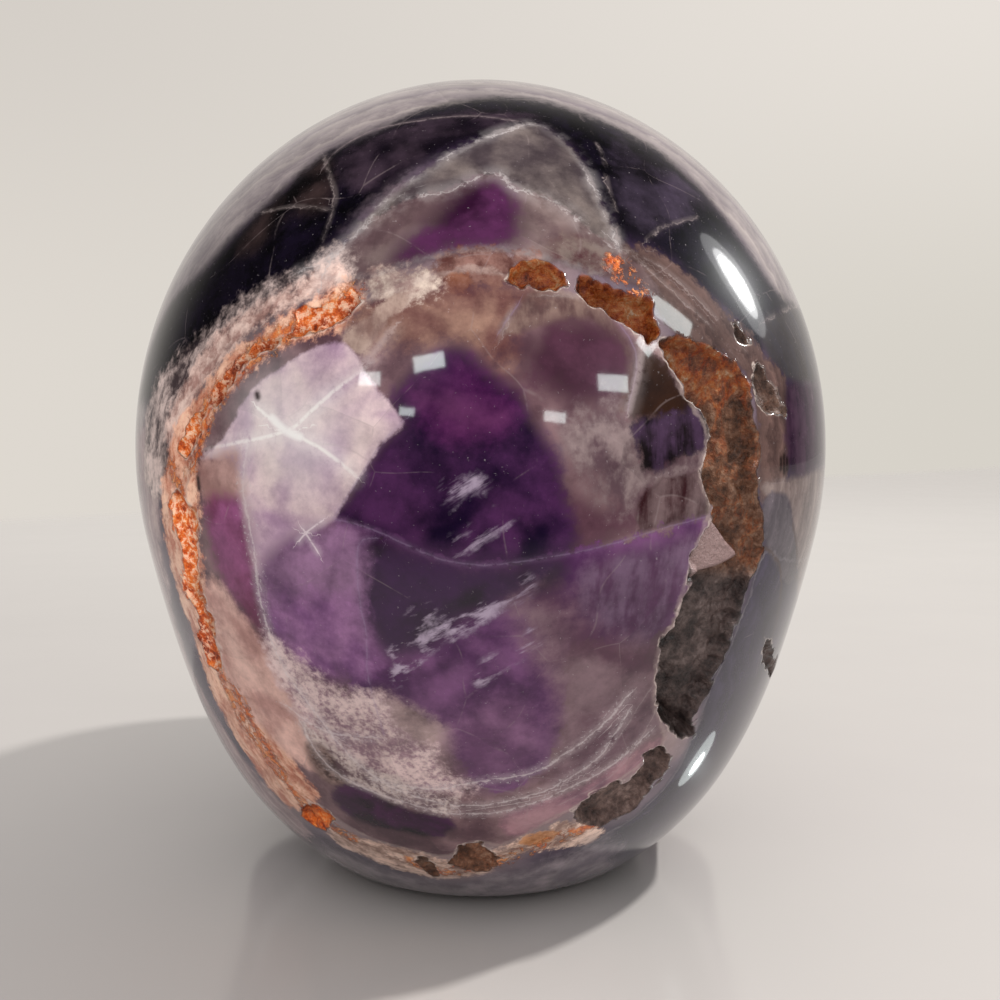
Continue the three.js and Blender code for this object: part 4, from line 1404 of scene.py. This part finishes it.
def add_softbox(
    name, place, aim, size, radiance, shade=(255, 255, 255), turn=0, shape="RECTANGLE", stone=None,
):
    """A light that faces the point it is aimed at. Places are in millimetres. Given the stone, it
    shows only in the polish of the stone."""
    lamp = bpy.data.lights.new(name, "AREA")
    lamp.shape = shape
    lamp.size, lamp.size_y = size[0] * MM, size[1] * MM
    lamp.energy = radiance * math.pi * lamp.size * lamp.size_y
    lamp.color = colour(*shade)[:3]
    box = bpy.data.objects.new(name, lamp)
    bpy.context.scene.collection.objects.link(box)
    facing = (Vector(aim) - Vector(place)).to_track_quat("-Z", "Y").to_matrix()
    facing = facing @ Matrix.Rotation(math.radians(turn), 3, "Z")
    box.matrix_world = Matrix.Translation(Vector(place) * MM) @ facing.to_4x4()
    box.visible_camera = False
    if stone:
        box.visible_diffuse = False
        lit = bpy.data.collections.new(name + " lights")
        lit.objects.link(stone)
        box.light_linking.receiver_collection = lit
    return box


def mirrored_place(pixel, distance):
    """The point of the stone at a pixel, and the place that shows there in its polish."""
    ray = rays_through([pixel])
    places = EYE + ray * np.linspace(STONE_NEAREST, STONE_FARTHEST, 1201)[:, None]
    spot = places[np.argmax(polished_form(places) < 0)]
    steps = np.eye(3) * 0.5
    slope = polished_form(spot + steps) - polished_form(spot - steps)
    normal = unit(slope)
    view = unit(EYE - spot)
    return spot, spot + (2 * (normal @ view) * normal - view) * distance


# The middle of the stone, which the lamps are aimed at, and the lamps: their direction from it, how
# far away they are and how large, in millimetres, and how bright
AIM = np.array([0, 0, 55.0])
KEY = dict(towards=(-0.525, 0.19, 0.83), away=650, size=(34, 34), radiance=870)
FILL = dict(towards=(0, 0.8, 0.6), away=900, size=(700, 700), radiance=1.6)
HIGHLIGHTS = [
    dict(towards=(-0.815, -0.32, 0.48), away=1600, size=(150, 300), radiance=90),
    dict(towards=(-0.815, -0.32, 0.48), away=1600, size=(230, 400), radiance=6),
    dict(towards=(-0.815, -0.32, 0.48), away=1600, size=(360, 600), radiance=1.4),
]

# Small panes that show in the polish: where in the picture, their distance and size in
# millimetres, their turn, and how bright they are
PANES = [
    ((429, 362), 420, (72, 34), 14, 18),
    ((370, 379), 420, (52, 28), 4, 15),
    ((407, 411), 420, (38, 18), -4, 15),
    ((613, 383), 420, (74, 34), -8, 16),
    ((555, 417), 420, (52, 22), -8, 15),
    ((647, 343), 420, (44, 40), 30, 16),
    ((668, 314), 420, (120, 46), -50, 12),
    ((698, 760), 30, (4.5, 12), 30, 1.6),
    ((697, 764), 30, (1.6, 5), 30, 20),
]


def add_lamp(name, lamp, **settings):
    """A lamp aimed at the middle of the stone."""
    place = AIM + np.array(lamp["towards"]) * lamp["away"]
    return add_softbox(name, place, AIM, lamp["size"], lamp["radiance"], **settings)


def add_lights(shift, stone):
    """The lamp that throws the shadow, a soft fill, and the lights that show in the polish."""
    key = add_lamp("key", KEY, shade=(255, 252, 247), shape="DISK")
    key.visible_glossy = False
    fill = add_lamp("fill", FILL)
    fill.visible_glossy = False
    for lamp in HIGHLIGHTS:
        add_lamp("highlight", lamp, shape="ELLIPSE", stone=stone)
    for i, (pixel, distance, size, turn, radiance) in enumerate(PANES):
        spot, place = mirrored_place(pixel, distance)
        add_softbox(f"pane {i + 1}", place + shift, spot + shift, size, radiance, shade=(240, 250, 248),
                    turn=turn, shape="RECTANGLE" if distance > 100 else "ELLIPSE", stone=stone)


def soft_room():
    """A pale room: even light, and in the polish a bright wall behind the stone and dim ones
    elsewhere."""
    world = bpy.data.worlds.new("soft room")
    bpy.context.scene.world = world
    world.use_nodes = True
    world.cycles.sampling_method = "NONE"
    n = Nodes(world.node_tree, "Generated")
    direction = n.node("SeparateXYZ")
    n.feed(direction.inputs[0], n.scaled(n.place, MM))
    x, y, z = direction.outputs
    high = n.step(z, 0.0, 0.3)
    left = n.mix(high, colour(222, 216, 208), colour(212, 206, 199))
    right = n.mix(high, colour(215, 210, 201), colour(231, 225, 218))
    wall = n.mix(n.step(x, 0.4, -0.4), left, right)
    behind = n.step(n.math("MULTIPLY", y, -1.0), 0.4, 0.95)
    mirrored = n.mix(behind, colour(50, 47, 48), colour(212, 206, 200))
    path = n.node("LightPath")
    shown = n.mix(path.outputs["Is Glossy Ray"], colour(209, 206, 204), mirrored)
    shown = n.mix(path.outputs["Is Camera Ray"], shown, wall)
    n.feed(n.tree.nodes["Background"].inputs["Color"], shown)


def add_camera(shift):
    """The camera of the photograph."""
    camera = bpy.data.cameras.new("camera")
    camera.sensor_width = 36.0
    camera.lens = camera.sensor_width * FOCAL / (2 * MIDDLE)
    holder = bpy.data.objects.new("camera", camera)
    bpy.context.scene.collection.objects.link(holder)
    holder.location = Vector((EYE + shift * (1, 1, 0)) * MM)
    holder.rotation_euler = Vector(FORWARD).to_track_quat("-Z", "Y").to_euler()
    bpy.context.scene.camera = holder
    bpy.context.scene.view_settings.view_transform = "Standard"


mesh, shift = make_stone()
skull = bpy.data.objects.new("skull_stone", mesh)
bpy.context.scene.collection.objects.link(skull)
mesh.materials.append(amethyst())
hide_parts("skull")
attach(skull, "root")

add_table(shift)
soft_room()
add_lights(shift, skull)
add_camera(shift)
